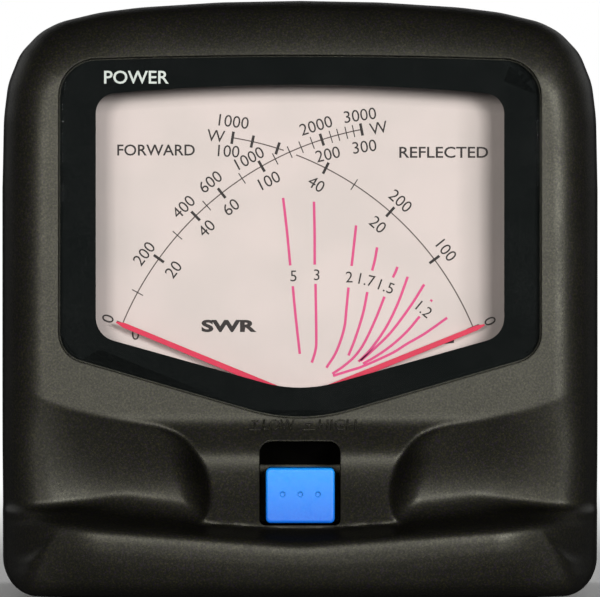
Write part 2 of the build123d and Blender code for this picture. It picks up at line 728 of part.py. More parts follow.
with BuildPart() as switch_plunger:
    with BuildSketch(front(3.0)):
        with Locations((0, BUTTON_U)):
            Rectangle(3.6, 3.6)
    extrude(amount=-14.2)
    with BuildSketch(front(17.2)):
        with Locations((0, BUTTON_U)):
            Circle(0.9)
    extrude(amount=-2.4)
save(switch_plunger, "switch_plunger")

with BuildPart() as switch_body:
    with BuildSketch(front(14.6)):
        with Locations((0, BUTTON_U)):
            Rectangle(8.6, 8.6)
    extrude(amount=-9.8)
    with BuildSketch(front(14.6)):
        with Locations((0, BUTTON_U)):
            Rectangle(3.75, 3.75)
    extrude(amount=-8.6, mode=Mode.SUBTRACT)
    with BuildSketch(front(24.4)):
        with Locations((0, BUTTON_U)):
            with GridLocations(4.0, 2.5, 3, 2):
                Rectangle(0.5, 0.5)
    extrude(amount=-3.2)
save(switch_body, "switch_body")

with BuildPart() as switch_spring:
    with BuildLine() as wire_path:
        Helix(pitch=1.15, height=4.6, radius=1.35, center=(0, Y0 + 17.6, ZB + BUTTON_U), direction=(0, 1, 0))
    with BuildSketch(Plane(origin=wire_path.edges()[0] @ 0, z_dir=wire_path.edges()[0] % 0)):
        Circle(0.18)
    sweep()
save(switch_spring, "switch_spring")

with BuildPart() as switch_board:
    with BuildSketch(front(24.4)):
        with Locations((0, 20.0)):
            Rectangle(18.0, 30.0)
        with Locations((0, BUTTON_U)):
            with GridLocations(4.0, 2.5, 3, 2):
                Rectangle(0.5, 0.5, mode=Mode.SUBTRACT)
    extrude(amount=-1.6)
save(switch_board, "switch_board")

# ---------------------------------------------------------------- sampling line
BOX_Y, BOX_BACK = 50.0, PANEL_Y
BOX_LOW, BOX_HIGH = 42.0, 73.0
with BuildPart() as coupler_box:
    with BuildSketch(front(BOX_Y)):
        with Locations((0, (BOX_LOW + BOX_HIGH) / 2)):
            Rectangle(76.0, BOX_HIGH - BOX_LOW)
            Rectangle(74.0, BOX_HIGH - BOX_LOW - 2.0, mode=Mode.SUBTRACT)
    extrude(amount=-(BOX_BACK - BOX_Y))
save(coupler_box, "coupler_box")

with BuildPart() as coupler_lid:
    with BuildSketch(front(BOX_Y - 0.8)):
        with Locations((0, (BOX_LOW + BOX_HIGH) / 2)):
            RectangleRounded(76.0, BOX_HIGH - BOX_LOW, 1.0)
        with Locations((-33.0, 47.0), (33.0, 47.0)):
            Circle(1.8, mode=Mode.SUBTRACT)
    extrude(amount=-0.8)
save(coupler_lid, "coupler_lid")

BOARD_TOP = 46.4
with BuildPart() as coupler_board:
    with BuildSketch(Plane(origin=(0, Y0 + 64.0, ZB + BOARD_TOP - 1.6))):
        Rectangle(74.0, 27.0)
    extrude(amount=1.6)
save(coupler_board, "coupler_board")

with BuildPart() as through_conductor:
    with BuildSketch(Plane.YZ.offset(-SOCKET_X - 1.5)):
        with Locations((Y0 + 65.0, ZB + SOCKET_U)):
            Circle(1.5)
    extrude(amount=2 * SOCKET_X + 3.0)
save(through_conductor, "through_conductor")

with BuildPart() as toroid_core:
    with BuildSketch(Plane.YZ.offset(-2.75)):
        with Locations((Y0 + 65.0, ZB + SOCKET_U)):
            Circle(6.4)
            Circle(3.4, mode=Mode.SUBTRACT)
    extrude(amount=5.5)
    fillet(toroid_core.edges(), 0.5)
save(toroid_core, "toroid_core")

with BuildPart() as detector_diodes:
    with BuildSketch(Plane.YZ.offset(-12.0)):
        with Locations((Y0 + 58.0, ZB + BOARD_TOP + 1.0), (Y0 + 63.0, ZB + BOARD_TOP + 1.0)):
            Circle(1.0)
    extrude(amount=4.0)
    with BuildSketch(Plane.YZ.offset(8.0)):
        with Locations((Y0 + 58.0, ZB + BOARD_TOP + 1.0), (Y0 + 63.0, ZB + BOARD_TOP + 1.0)):
            Circle(1.0)
    extrude(amount=4.0)
save(detector_diodes, "detector_diodes")

TRIMMERS = {"forward": (26.0, Y0 + 58.0), "reflected": (-26.0, Y0 + 58.0)}
with BuildPart() as trimmer_bodies:
    with BuildSketch(Plane(origin=(0, 0, ZB + BOARD_TOP))):
        with Locations(*TRIMMERS.values()):
            Rectangle(6.8, 6.8)
    extrude(amount=4.6)
    with BuildSketch(Plane(origin=(0, 0, ZB + BOARD_TOP + 4.6))):
        with Locations(*TRIMMERS.values()):
            Circle(2.25)
    extrude(amount=-1.4, mode=Mode.SUBTRACT)
save(trimmer_bodies, "trimmer_bodies")

for side, (tx, ty) in TRIMMERS.items():
    with BuildPart() as rotor:
        with BuildSketch(Plane(origin=(tx, ty, ZB + BOARD_TOP + 3.2))):
            Circle(2.2)
        extrude(amount=1.7)
        with BuildSketch(Plane(origin=(tx, ty, ZB + BOARD_TOP + 4.9))):
            Rectangle(3.2, 0.6)
            Rectangle(0.6, 2.0)
        extrude(amount=-0.8, mode=Mode.SUBTRACT)
    save(rotor, f"{side}_trimmer_rotor")

# ---------------------------------------------------------------- sockets
for side, sx in (("tx", SOCKET_X), ("ant", -SOCKET_X)):
    middle = Plane(origin=(sx, Y0, ZB + SOCKET_U), x_dir=(1, 0, 0), z_dir=(0, -1, 0))
    with BuildPart() as shell:
        with BuildSketch(middle.offset(-(PANEL_Y + PANEL_T))):
            RectangleRounded(25.4, 25.4, 1.2)
        extrude(amount=-1.6)
        with BuildSketch(middle.offset(-74.0)):
            Circle(SOCKET_THREAD_R)
        extrude(amount=-(SOCKET_END - 74.0))
        chamfer(shell.edges().group_by(Axis.Y)[-1], 0.5)
        with BuildSketch(middle.offset(-74.0)):
            Circle(5.85)
        extrude(amount=-(SOCKET_END - 74.0), mode=Mode.SUBTRACT)
        with BuildSketch(middle.offset(-80.0)):
            with GridLocations(18.2, 18.2, 2, 2):
                Circle(1.45)
        extrude(amount=-2.0, mode=Mode.SUBTRACT)
        # key notches in the rim
        with BuildSketch(middle.offset(-SOCKET_END)):
            for turn in (45, 135, 225, 315):
                with Locations(polar(0, 0, 6.9, turn)):
                    Rectangle(2.6, 1.0, rotation=turn)
        extrude(amount=1.2, mode=Mode.SUBTRACT)
    save(shell, f"{side}_socket_shell")

    with BuildPart() as insulator:
        with BuildSketch(middle.offset(-74.0)):
            Circle(5.85)
            Circle(2.7, mode=Mode.SUBTRACT)
        extrude(amount=-16.6)
    save(insulator, f"{side}_socket_insulator")

    with BuildPart() as contact:
        with BuildSketch(middle.offset(-66.5)):
            Circle(2.7)
        extrude(amount=-(92.0 - 66.5))
        with BuildSketch(middle.offset(-92.0)):
            Circle(2.0)
        extrude(amount=12.0, mode=Mode.SUBTRACT)
        with BuildSketch(middle.offset(-92.0)):
            Rectangle(0.5, 6.0)
        extrude(amount=1.3, mode=Mode.SUBTRACT)
    save(contact, f"{side}_socket_contact")

with BuildPart() as flange_screws:
    with BuildSketch(front(81.6)):
        with Locations((-SOCKET_X, SOCKET_U), (SOCKET_X, SOCKET_U)):
            with GridLocations(18.2, 18.2, 2, 2):
                Circle(2.4)
    extrude(amount=-1.6)
    fillet(flange_screws.edges().group_by(Axis.Y)[-1], 0.6)
    with BuildSketch(front(81.6)):
        with Locations((-SOCKET_X, SOCKET_U), (SOCKET_X, SOCKET_U)):
            with GridLocations(18.2, 18.2, 2, 2):
                Circle(1.38)
    extrude(amount=5.6)
    with BuildSketch(front(83.2)):
        with Locations((-SOCKET_X, SOCKET_U), (SOCKET_X, SOCKET_U)):
            with GridLocations(18.2, 18.2, 2, 2):
                Rectangle(2.6, 0.55)
                Rectangle(0.55, 2.6)
    extrude(amount=0.9, mode=Mode.SUBTRACT)
save(flange_screws, "flange_screws")

with BuildPart() as dc_jack:
    with BuildSketch(front(66.0)):
        with Locations((0, 24.0)):
            Rectangle(9.6, 10.4)
    extrude(amount=-(PANEL_Y - 66.0))
    with BuildSketch(front(PANEL_Y)):
        with Locations((0, 24.0)):
            Circle(4.0)
    extrude(amount=-5.0)
    with BuildSketch(front(PANEL_Y + PANEL_T)):
        with Locations((0, 24.0)):
            RegularPolygon(6.2, 6)
            Circle(4.0, mode=Mode.SUBTRACT)
    extrude(amount=-1.8)
    with BuildSketch(front(68.0)):
        with Locations((0, 24.0)):
            Circle(2.75)
    extrude(amount=-20.0, mode=Mode.SUBTRACT)
save(dc_jack, "dc_jack")

with BuildPart() as dc_jack_pin:
    with BuildSketch(front(68.0)):
        with Locations((0, 24.0)):
            Circle(1.05)
    extrude(amount=-12.5)
    fillet(dc_jack_pin.edges().group_by(Axis.Y)[-1], 0.5)
save(dc_jack_pin, "dc_jack_pin")
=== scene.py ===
import math
import random

import bmesh
import bpy
import numpy as np
from mathutils import Matrix, Vector


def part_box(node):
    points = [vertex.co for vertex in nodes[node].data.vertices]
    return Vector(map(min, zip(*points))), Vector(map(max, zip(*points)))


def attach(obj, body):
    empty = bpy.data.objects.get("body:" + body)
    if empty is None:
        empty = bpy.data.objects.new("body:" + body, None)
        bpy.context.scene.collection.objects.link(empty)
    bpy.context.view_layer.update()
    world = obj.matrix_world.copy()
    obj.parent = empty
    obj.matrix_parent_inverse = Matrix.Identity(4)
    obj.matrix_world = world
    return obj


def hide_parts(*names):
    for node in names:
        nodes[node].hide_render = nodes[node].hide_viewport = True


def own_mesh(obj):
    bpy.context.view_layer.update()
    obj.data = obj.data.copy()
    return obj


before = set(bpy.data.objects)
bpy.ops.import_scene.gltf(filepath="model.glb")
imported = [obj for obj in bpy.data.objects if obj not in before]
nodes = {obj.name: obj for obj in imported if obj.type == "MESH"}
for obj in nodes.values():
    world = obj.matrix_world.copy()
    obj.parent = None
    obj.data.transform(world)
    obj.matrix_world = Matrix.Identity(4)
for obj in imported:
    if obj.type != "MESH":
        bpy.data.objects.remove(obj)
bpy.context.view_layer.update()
random.seed(7)

# ------------------------------------------------------------------ frame numbers (mm)
# X right, u up from the underside of the case, y back from the window frame.
lens_lo, lens_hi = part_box("meter_lens")
dial_lo, dial_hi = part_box("dial_plate")
feet_lo, feet_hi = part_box("rubber_feet")
Y0 = lens_lo.y * 1000 - 0.5
ZB = feet_hi.z * 1000
DIAL = dial_lo.y * 1000 - Y0
CASE_W, CASE_H = 100.0, 99.7


def P(x, u, y):
    return Vector((x / 1000, (Y0 + y) / 1000, (ZB + u) / 1000))


# ------------------------------------------------------------------ materials
class Tree:
    def __init__(self, name):
        self.mat = bpy.data.materials.new(name)
        self.mat.use_nodes = True
        self.t = self.mat.node_tree
        self.t.nodes.clear()
        self.out = self.add("ShaderNodeOutputMaterial")
        self.coord = self.add("ShaderNodeTexCoord").outputs["Object"]

    def add(self, kind, **kw):
        n = self.t.nodes.new(kind)
        for k, v in kw.items():
            if k in n.inputs:
                self.put(n.inputs[k], v)
            else:
                setattr(n, k, v)
        return n

    def put(self, socket, v):
        if isinstance(v, bpy.types.NodeSocket):
            self.t.links.new(v, socket)
        else:
            socket.default_value = v

    def stretch(self, scale):
        m = self.add("ShaderNodeMapping")
        self.put(m.inputs["Vector"], self.coord)
        m.inputs["Scale"].default_value = scale
        return m.outputs[0]

    def noise(self, size_mm, detail=2.0, rough=0.5, vector=None, distort=0.0):
        n = self.add("ShaderNodeTexNoise", Scale=1000.0 / size_mm, Detail=detail, Roughness=rough, Distortion=distort)
        self.put(n.inputs["Vector"], vector or self.coord)
        return n.outputs["Fac"]

    def cells(self, size_mm, vector=None, feature="F1"):
        n = self.add("ShaderNodeTexVoronoi", Scale=1000.0 / size_mm)
        n.feature = feature
        self.put(n.inputs["Vector"], vector or self.coord)
        return n.outputs["Distance"]

    def remap(self, v, a, b, c, d):
        n = self.add("ShaderNodeMapRange")
        self.put(n.inputs["Value"], v)
        for k, x in (("From Min", a), ("From Max", b), ("To Min", c), ("To Max", d)):
            n.inputs[k].default_value = x
        return n.outputs[0]

    def math(self, op, a, b=0.0, clamp=False):
        n = self.add("ShaderNodeMath")
        n.operation = op
        n.use_clamp = clamp
        self.put(n.inputs[0], a)
        self.put(n.inputs[1], b)
        return n.outputs[0]

    def mix(self, f, a, b):
        n = self.add("ShaderNodeMix")
        n.data_type = "RGBA"
        self.put(n.inputs[0], f)
        self.put(n.inputs[6], a)
        self.put(n.inputs[7], b)
        return n.outputs[2]

    def bevel(self, mm):
        n = self.add("ShaderNodeBevel", Radius=mm / 1000)
        n.samples = 4
        return n.outputs[0]

    def wear(self, bevel_normal):
        """1 on sharp edges, 0 on flats."""
        g = self.add("ShaderNodeNewGeometry")
        d = self.add("ShaderNodeVectorMath")
        d.operation = "DOT_PRODUCT"
        self.put(d.inputs[0], bevel_normal)
        self.put(d.inputs[1], g.outputs["Normal"])
        return self.remap(d.outputs["Value"], 0.99, 0.75, 0.0, 1.0)

    def bump(self, height, strength, distance_mm, normal=None):
        n = self.add("ShaderNodeBump", Strength=strength, Distance=distance_mm / 1000)
        self.put(n.inputs["Height"], height)
        if normal is not None:
            self.put(n.inputs["Normal"], normal)
        return n.outputs[0]

    def surface(self, shader):
        self.t.links.new(shader, self.out.inputs["Surface"])
        return self.mat


def srgb(r, g, b):
    return tuple((c / 255 / 12.92) if c <= 10 else ((c / 255 + 0.055) / 1.055) ** 2.4 for c in (r, g, b)) + (1.0,)


def shade(c, k):
    return (min(c[0] * k, 1), min(c[1] * k, 1), min(c[2] * k, 1), 1.0)


def stuff(name, rgb, rough=0.5, metal=0.0, vary=0.10, grain=0.3, bump=0.25, depth=0.02, edge=0.15,
          spec=0.5, wear=0.0, wear_rgb=None, coat=0.0, stretch=None, spread=0.06, blotch=6.0, glow=0.0, sub=0.0):
    """One moulded, machined or printed finish: base colour with fine and broad
    variation, uneven roughness, bump at grain size, rounded and rubbed edges."""
    t = Tree(name)
    c = srgb(*rgb) if max(rgb) > 1 else tuple(rgb) + (1.0,)
    vec = t.stretch(stretch) if stretch else t.coord
    fine = t.noise(grain, 3.0, 0.6, vec)
    broad = t.noise(blotch, 2.0, 0.5)
    tone = t.mix(fine, shade(c, 1 - vary), shade(c, 1 + vary))
    tone = t.mix(t.remap(broad, 0.35, 0.65, 0.0, 0.5), tone, shade(c, 1 - 0.7 * vary))
    nrm = t.bevel(edge) if edge else None
    p = t.add("ShaderNodeBsdfPrincipled")
    if wear and nrm is not None:
        rub = t.math("MULTIPLY", t.wear(nrm), t.remap(t.noise(grain * 6, 3.0), 0.4, 0.62, 0.0, wear))
        tone = t.mix(rub, tone, srgb(*wear_rgb) if wear_rgb else shade(c, 1.9))
    t.put(p.inputs["Base Color"], tone)
    t.put(p.inputs["Roughness"], t.remap(t.math("ADD", fine, t.noise(blotch * 0.5)), 0.7, 1.3, max(rough - spread, 0.02), min(rough + spread, 1)))
    p.inputs["Metallic"].default_value = metal
    p.inputs["Specular IOR Level"].default_value = spec
    p.inputs["Coat Weight"].default_value = coat
    if sub:
        p.inputs["Subsurface Weight"].default_value = sub
        p.inputs["Subsurface Scale"].default_value = 0.002
    if glow:
        p.inputs["Emission Color"].default_value = c
        p.inputs["Emission Strength"].default_value = glow
    t.put(p.inputs["Normal"], t.bump(fine, bump, depth, nrm))
    return t.surface(p.outputs[0])


def case_material(name, level=1.0):
    """Charcoal moulded plastic: spark-eroded grain, faint olive and violet speckle, and painted shade that turns the
    colour near black where the surface faces away from the view.
    """
    t = Tree(name)
    base = srgb(17, 18, 14)
    fleck_a, fleck_b = srgb(42, 39, 16), srgb(31, 19, 42)
    n1, n2 = t.noise(0.33, 2.0, 0.7), t.noise(0.41, 2.0, 0.7, t.stretch((1.07, 0.93, 1.01)))
    tone = t.mix(t.remap(n1, 0.5, 0.72, 0.0, 0.85), base, fleck_a)
    tone = t.mix(t.remap(n2, 0.52, 0.74, 0.0, 0.8), tone, fleck_b)
    tone = t.mix(t.remap(t.noise(14.0), 0.4, 0.6, 0.0, 0.25), tone, srgb(13, 14, 12))
    nrm = t.bevel(0.35)
    rub = t.math("MULTIPLY", t.wear(nrm), t.remap(t.noise(1.8, 3.0), 0.45, 0.7, 0.0, 0.5))
    tone = t.mix(rub, tone, srgb(60, 60, 52))
    p = t.add("ShaderNodeBsdfPrincipled")
    turn = t.add("ShaderNodeLayerWeight", Blend=0.5)
    # painted shade: the base colour is pulled towards near black where the surface turns away from the view, darkening
    # the rounded rims
    tone = t.mix(t.remap(turn.outputs["Facing"], 0.10, 0.5, 0.0, 0.62), tone, (0.0008, 0.0008, 0.0007, 1))
    t.put(p.inputs["Base Color"], tone)
    grain = t.math("ADD", t.noise(0.22, 3.0, 0.65), t.math("MULTIPLY", t.cells(0.34), 0.5))
    t.put(p.inputs["Roughness"], t.remap(t.math("ADD", n2, t.noise(9.0)), 0.7, 1.3, BODY_ROUGH - 0.04, BODY_ROUGH + 0.05))
    flank = t.remap(turn.outputs["Facing"], 0.22, 0.72, 1.0, 0.06)
    t.put(p.inputs["Specular IOR Level"], t.math("MULTIPLY", flank, t.remap(n1, 0.3, 0.75, BODY_SPEC * 0.7, BODY_SPEC * 1.3)))
    p.inputs["Specular Tint"].default_value = (1.0, 0.99, 0.84, 1)
    t.put(p.inputs["Normal"], t.bump(grain, 0.30, 0.018, nrm))
    return t.surface(p.outputs[0])


BODY_ROUGH = 0.42
BODY_SPEC = 0.35


def lens_material():
    """Clear cast acrylic: reflects by angle, lets the rest through, faint dust and wiping marks."""
    t = Tree("lens_acrylic")
    f = t.add("ShaderNodeFresnel", IOR=1.46)
    nrm = t.bevel(0.12)
    ripple = t.bump(t.noise(18.0, 1.0), 0.05, 0.05, nrm)
    t.put(f.inputs["Normal"], ripple)
    gloss = t.add("ShaderNodeBsdfAnisotropic")
    gloss.inputs["Color"].default_value = (1, 1, 1, 1)
    t.put(gloss.inputs["Roughness"], t.remap(t.noise(3.0, 3.0, 0.6, t.stretch((1, 1, 0.15))), 0.4, 0.7, 0.015, 0.04))
    t.put(gloss.inputs["Normal"], ripple)
    clear = t.add("ShaderNodeBsdfTransparent")
    t.put(clear.inputs["Color"], t.mix(t.remap(t.noise(9.0), 0.4, 0.6, 0, 1), (0.955, 0.965, 0.962, 1), (0.975, 0.98, 0.978, 1)))
    dust = t.add("ShaderNodeBsdfDiffuse")
    dust.inputs["Color"].default_value = (0.7, 0.72, 0.7, 1)
    m1 = t.add("ShaderNodeMixShader")
    t.put(m1.inputs[0], t.remap(t.math("MULTIPLY", t.noise(0.5, 2.0), t.noise(26.0)), 0.26, 0.5, 0.0, 0.005))
    t.put(m1.inputs[1], clear.outputs[0])
    t.put(m1.inputs[2], dust.outputs[0])
    side = t.add("ShaderNodeNewGeometry")
    m2 = t.add("ShaderNodeMixShader")
    t.put(m2.inputs[0], t.math("MULTIPLY", f.outputs[0], t.math("SUBTRACT", 1.0, side.outputs["Backfacing"])))
    t.put(m2.inputs[1], m1.outputs[0])
    t.put(m2.inputs[2], gloss.outputs[0])
    path = t.add("ShaderNodeLightPath")
    m3 = t.add("ShaderNodeMixShader")
    t.put(m3.inputs[0], path.outputs["Is Shadow Ray"])
    t.put(m3.inputs[1], m2.outputs[0])
    t.put(m3.inputs[2], clear.outputs[0])
    return t.surface(m3.outputs[0])


def glass_material(name, rgb, rough=0.05):
    t = Tree(name)
    f = t.add("ShaderNodeFresnel", IOR=1.5)
    gloss = t.add("ShaderNodeBsdfAnisotropic")
    t.put(gloss.inputs["Roughness"], t.remap(t.noise(0.6), 0.3, 0.7, rough, rough + 0.08))
    clear = t.add("ShaderNodeBsdfTransparent")
    t.put(clear.inputs["Color"], t.mix(t.noise(1.2), srgb(*rgb), shade(srgb(*rgb), 0.9)))
    side = t.add("ShaderNodeNewGeometry")
    m = t.add("ShaderNodeMixShader")
    t.put(m.inputs[0], t.math("MULTIPLY", f.outputs[0], t.math("SUBTRACT", 1.0, side.outputs["Backfacing"])))
    t.put(m.inputs[1], clear.outputs[0])
    t.put(m.inputs[2], gloss.outputs[0])
    return t.surface(m.outputs[0])


# painted shadow on the dial card: how dark the card is painted at the right, left and top edges of the window
PAINTED_SHADOW_R, PAINTED_SHADOW_L, PAINTED_SHADOW_T = 0.62, 0.80, 0.5


def card_material():
    """Matt printed dial card, warm white, with painted shadow of the window border along its right, left and top edges.
    """
    t = Tree("dial_card_stock")
    fibre = t.noise(0.25, 4.0, 0.7, t.stretch((1.0, 1.0, 0.45)))
    tone = t.mix(fibre, srgb(217, 203, 200), srgb(227, 213, 210))
    tone = t.mix(t.remap(t.noise(22.0), 0.35, 0.65, 0, 0.4), tone, srgb(219, 205, 203))
    sep = t.add("ShaderNodeSeparateXYZ")
    t.put(sep.inputs[0], t.coord)
    tall = t.math("ADD", sep.outputs["Z"], t.math("MULTIPLY", t.math("POWER", t.math("ABSOLUTE", sep.outputs["X"]), 2.0), 1.46))
    # painted shadow: the card colour is pulled towards srgb(40, 42, 36) near the right, left and top edges of the
    # window, where the border shades it
    painted_border_shadow = t.math("MULTIPLY", t.remap(sep.outputs["X"], 0.0325, 0.0262, PAINTED_SHADOW_R, 1.0), t.remap(sep.outputs["X"], -0.0345, -0.0280, PAINTED_SHADOW_L, 1.0))
    painted_border_shadow = t.math("MULTIPLY", painted_border_shadow, t.remap(tall, (ZB + 85.6) / 1000, (ZB + 82.6) / 1000, PAINTED_SHADOW_T, 1.0))
    tone = t.mix(painted_border_shadow, srgb(40, 42, 36), tone)
    p = t.add("ShaderNodeBsdfPrincipled")
    t.put(p.inputs["Base Color"], tone)
    t.put(p.inputs["Roughness"], t.remap(fibre, 0.3, 0.7, 0.72, 0.84))
    p.inputs["Specular IOR Level"].default_value = 0.15
    t.put(p.inputs["Normal"], t.bump(fibre, 0.15, 0.01))
    return t.surface(p.outputs[0])


def board_material(name, rgb):
    """Glass-epoxy board: solder mask with thin copper traces."""
    t = Tree(name)
    weave = t.add("ShaderNodeTexBrick", Scale=1400.0)
    t.put(weave.inputs["Vector"], t.coord)
    trace = t.add("ShaderNodeTexWave", Scale=260.0, Distortion=2.5)
    trace.inputs["Detail Scale"].default_value = 0.5
    t.put(trace.inputs["Vector"], t.stretch((1, 0.2, 0.3)))
    line = t.remap(trace.outputs["Fac"], 0.62, 0.66, 0.0, 0.35)
    tone = t.mix(line, srgb(*rgb), shade(srgb(*rgb), 1.7))
    tone = t.mix(t.remap(t.noise(0.2), 0.4, 0.6, 0, 0.3), tone, shade(srgb(*rgb), 0.75))
    p = t.add("ShaderNodeBsdfPrincipled")
    t.put(p.inputs["Base Color"], tone)
    t.put(p.inputs["Roughness"], t.remap(t.noise(1.4), 0.3, 0.7, 0.28, 0.42))
    h = t.math("ADD", line, t.math("MULTIPLY", t.noise(0.3), 0.3))
    t.put(p.inputs["Normal"], t.bump(h, 0.3, 0.03, t.bevel(0.1)))
    return t.surface(p.outputs[0])


def turned_metal(name, rgb, rough, axis, grain=0.12, wear_rgb=(235, 232, 225)):
    """Plated or machined metal with fine tool lines along one axis."""
    s = {"x": (0.06, 1, 1), "y": (1, 0.06, 1), "z": (1, 1, 0.06)}[axis]
    return stuff(name, rgb, rough, 1.0, 0.12, grain, 0.35, 0.008, 0.12, wear=0.5, wear_rgb=wear_rgb, stretch=s, spread=0.08, blotch=3.0)


M = {
    "case": case_material("case_plastic_moulded"),
    "panel": stuff("panel_black_paint", (30, 31, 31), 0.48, 0.0, 0.25, 0.35, 0.6, 0.03, 0.25, wear=0.7, wear_rgb=(150, 152, 155)),
    "steel": turned_metal("steel_zinc_plated", (168, 170, 174), 0.32, "x"),
    "rubber": stuff("feet_rubber", (22, 22, 23), 0.85, 0.0, 0.2, 0.25, 0.6, 0.04, 0.2, spec=0.3),
    "lens": lens_material(),
    "film": stuff("border_gloss_black", (10, 14, 14), 0.6, 0.0, 0.2, 0.8, 0.05, 0.01, 0.0, spec=0.04, blotch=9.0),
    "black_plastic": stuff("black_plastic_inner", (26, 26, 27), 0.5, 0.0, 0.2, 0.3, 0.3, 0.02, 0.15),
    "card": card_material(),
    "brass": turned_metal("brass_turned", (205, 166, 92), 0.3, "y", wear_rgb=(232, 205, 140)),
    "lamp": glass_material("lamp_glass_clear", (246, 244, 236)),
    "board": board_material("board_phenolic", (120, 84, 38)),
    "green_board": board_material("board_green", (18, 74, 42)),
    "blue": None,
    "grey": stuff("plunger_grey", (128, 130, 130), 0.45, 0.0, 0.08, 0.3, 0.15, 0.02, 0.15, sub=0.05),
    "tin": stuff("tinplate_folded", (190, 192, 194), 0.28, 1.0, 0.1, 0.5, 0.2, 0.01, 0.2, blotch=4.0, spread=0.12, stretch=(1, 1, 0.2)),
    "copper": turned_metal("copper_enamelled", (196, 100, 58), 0.28, "y", 0.2, (222, 140, 96)),
    "ferrite": stuff("ferrite_core", (48, 48, 52), 0.6, 0.0, 0.25, 0.2, 0.7, 0.03, 0.2),
    "diode": glass_material("diode_glass_amber", (232, 150, 82)),
    "white": stuff("trimmer_white", (226, 224, 214), 0.4, 0.0, 0.05, 0.3, 0.15, 0.02, 0.15, sub=0.1),
    "nickel": turned_metal("nickel_plated", (196, 193, 186), 0.22, "y"),
    "ptfe": stuff("ptfe_insulator", (238, 238, 234), 0.5, 0.0, 0.03, 0.4, 0.1, 0.01, 0.2, sub=0.25),
    "needle": stuff("needle_red_lacquer", (222, 38, 78), 0.5, 0.0, 0.08, 0.2, 0.15, 0.01, 0.06, spec=0.3),
    "solder": stuff("solder_beads", (176, 178, 180), 0.35, 1.0, 0.15, 0.25, 0.5, 0.03, 0.15),
    "bronze": turned_metal("hairspring_bronze", (188, 142, 84), 0.25, "x"),
    "alnico": stuff("alnico_cast", (120, 118, 114), 0.45, 0.9, 0.2, 0.3, 0.6, 0.03, 0.2),
    "iron": turned_metal("soft_iron_ring", (108, 108, 110), 0.38, "y"),
    "zinc": stuff("zinc_die_cast", (158, 160, 160), 0.42, 0.9, 0.12, 0.4, 0.4, 0.02, 0.2),
}


def button_material():
    """Clear-bodied blue moulding: soft sheen, with painted light: a lighter blue over the top of the cap and a darker
    blue below.
    """
    t = Tree("button_blue_moulded")
    sep = t.add("ShaderNodeSeparateXYZ")
    t.put(sep.inputs[0], t.coord)
    zc = (ZB + 16.9) / 1000
    # painted light: the cap is coloured lighter blue at the top and darker blue at the bottom, as if lit from above
    up = t.remap(sep.outputs["Z"], zc - 0.0045, zc + 0.0042, 0.0, 1.0)
    tone = t.mix(up, srgb(14, 104, 218), srgb(26, 150, 250))
    tone = t.mix(t.remap(t.noise(0.4, 3.0), 0.4, 0.6, 0, 0.25), tone, srgb(18, 130, 238))
    p = t.add("ShaderNodeBsdfPrincipled")
    lp = t.add("ShaderNodeLightPath")
    tone = t.mix(lp.outputs["Is Camera Ray"], srgb(12, 40, 78), tone)
    t.put(p.inputs["Base Color"], tone)
    t.put(p.inputs["Roughness"], t.remap(t.noise(0.8, 3.0), 0.3, 0.7, 0.3, 0.42))
    p.inputs["Specular IOR Level"].default_value = 0.35
    p.inputs["Subsurface Weight"].default_value = 0.15
    p.inputs["Subsurface Scale"].default_value = 0.001
    t.put(p.inputs["Normal"], t.bump(t.noise(0.3, 3.0), 0.12, 0.01, t.bevel(0.35)))
    return t.surface(p.outputs[0])


M["blue"] = button_material()

FINISH = {
    "front_bezel": "case", "rear_housing": "case", "rear_panel": "panel", "case_screws": "steel", "flange_screws": "steel",
    "dial_screws": "steel", "needle_stops": "steel", "switch_spring": "steel", "rubber_feet": "rubber", "meter_lens": "lens",
    "lens_border_film": "film", "meter_case": "black_plastic", "switch_body": "black_plastic", "dc_jack": "black_plastic",
    "dial_plate": "card", "jewel_screws": "brass", "lamps": "lamp", "lamp_strip": "board", "switch_board": "green_board",
    "coupler_board": "green_board", "push_button": "blue", "switch_plunger": "grey", "coupler_box": "tin", "coupler_lid": "tin",
    "through_conductor": "copper", "toroid_core": "ferrite", "detector_diodes": "diode", "trimmer_bodies": "white",
    "tx_socket_shell": "nickel", "ant_socket_shell": "nickel", "dc_jack_pin": "nickel", "tx_socket_insulator": "ptfe",
    "ant_socket_insulator": "ptfe", "tx_socket_contact": "brass", "ant_socket_contact": "brass",
}
for s in ("forward", "reflected"):
    FINISH.update({
        f"{s}_needle": "needle", f"{s}_balance_weights": "solder", f"{s}_pivot_shafts": "steel", f"{s}_moving_coil": "copper",
        f"{s}_hairsprings": "bronze", f"{s}_core_magnet": "alnico", f"{s}_yoke_ring": "iron", f"{s}_magnet_spacers": "zinc",
        f"{s}_front_bridge": "zinc", f"{s}_rear_bridge": "zinc", f"{s}_zero_lever": "brass", f"{s}_trimmer_rotor": "brass",
    })
for n, o in nodes.items():
    o.data.materials.clear()
    o.data.materials.append(M[FINISH[n]])

# ------------------------------------------------------------------ mesh helpers
scene = bpy.context.scene


def piece(name, bm, mat, body="case", smooth=None):
    me = bpy.data.meshes.new(name)
    bmesh.ops.remove_doubles(bm, verts=bm.verts, dist=1e-8)
    bmesh.ops.recalc_face_normals(bm, faces=bm.faces)
    bm.to_mesh(me)
    bm.free()
    o = bpy.data.objects.new(name, me)
    scene.collection.objects.link(o)
    me.materials.append(mat)
    if smooth is not None:
        for p in me.polygons:
            p.use_smooth = True
        me.set_sharp_from_angle(angle=math.radians(smooth))
    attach(o, body)
    return o


def prism(bm, loop, y0, y1):
    """A flat shape facing forward, given as (x, u) points, between depths y0 and y1."""
    a = [bm.verts.new(P(x, u, y0)) for x, u in loop]
    b = [bm.verts.new(P(x, u, y1)) for x, u in loop]
    bm.faces.new(a)
    bm.faces.new(b[::-1])
    n = len(loop)
    for i in range(n):
        j = (i + 1) % n
        bm.faces.new((a[i], b[i], b[j], a[j]))


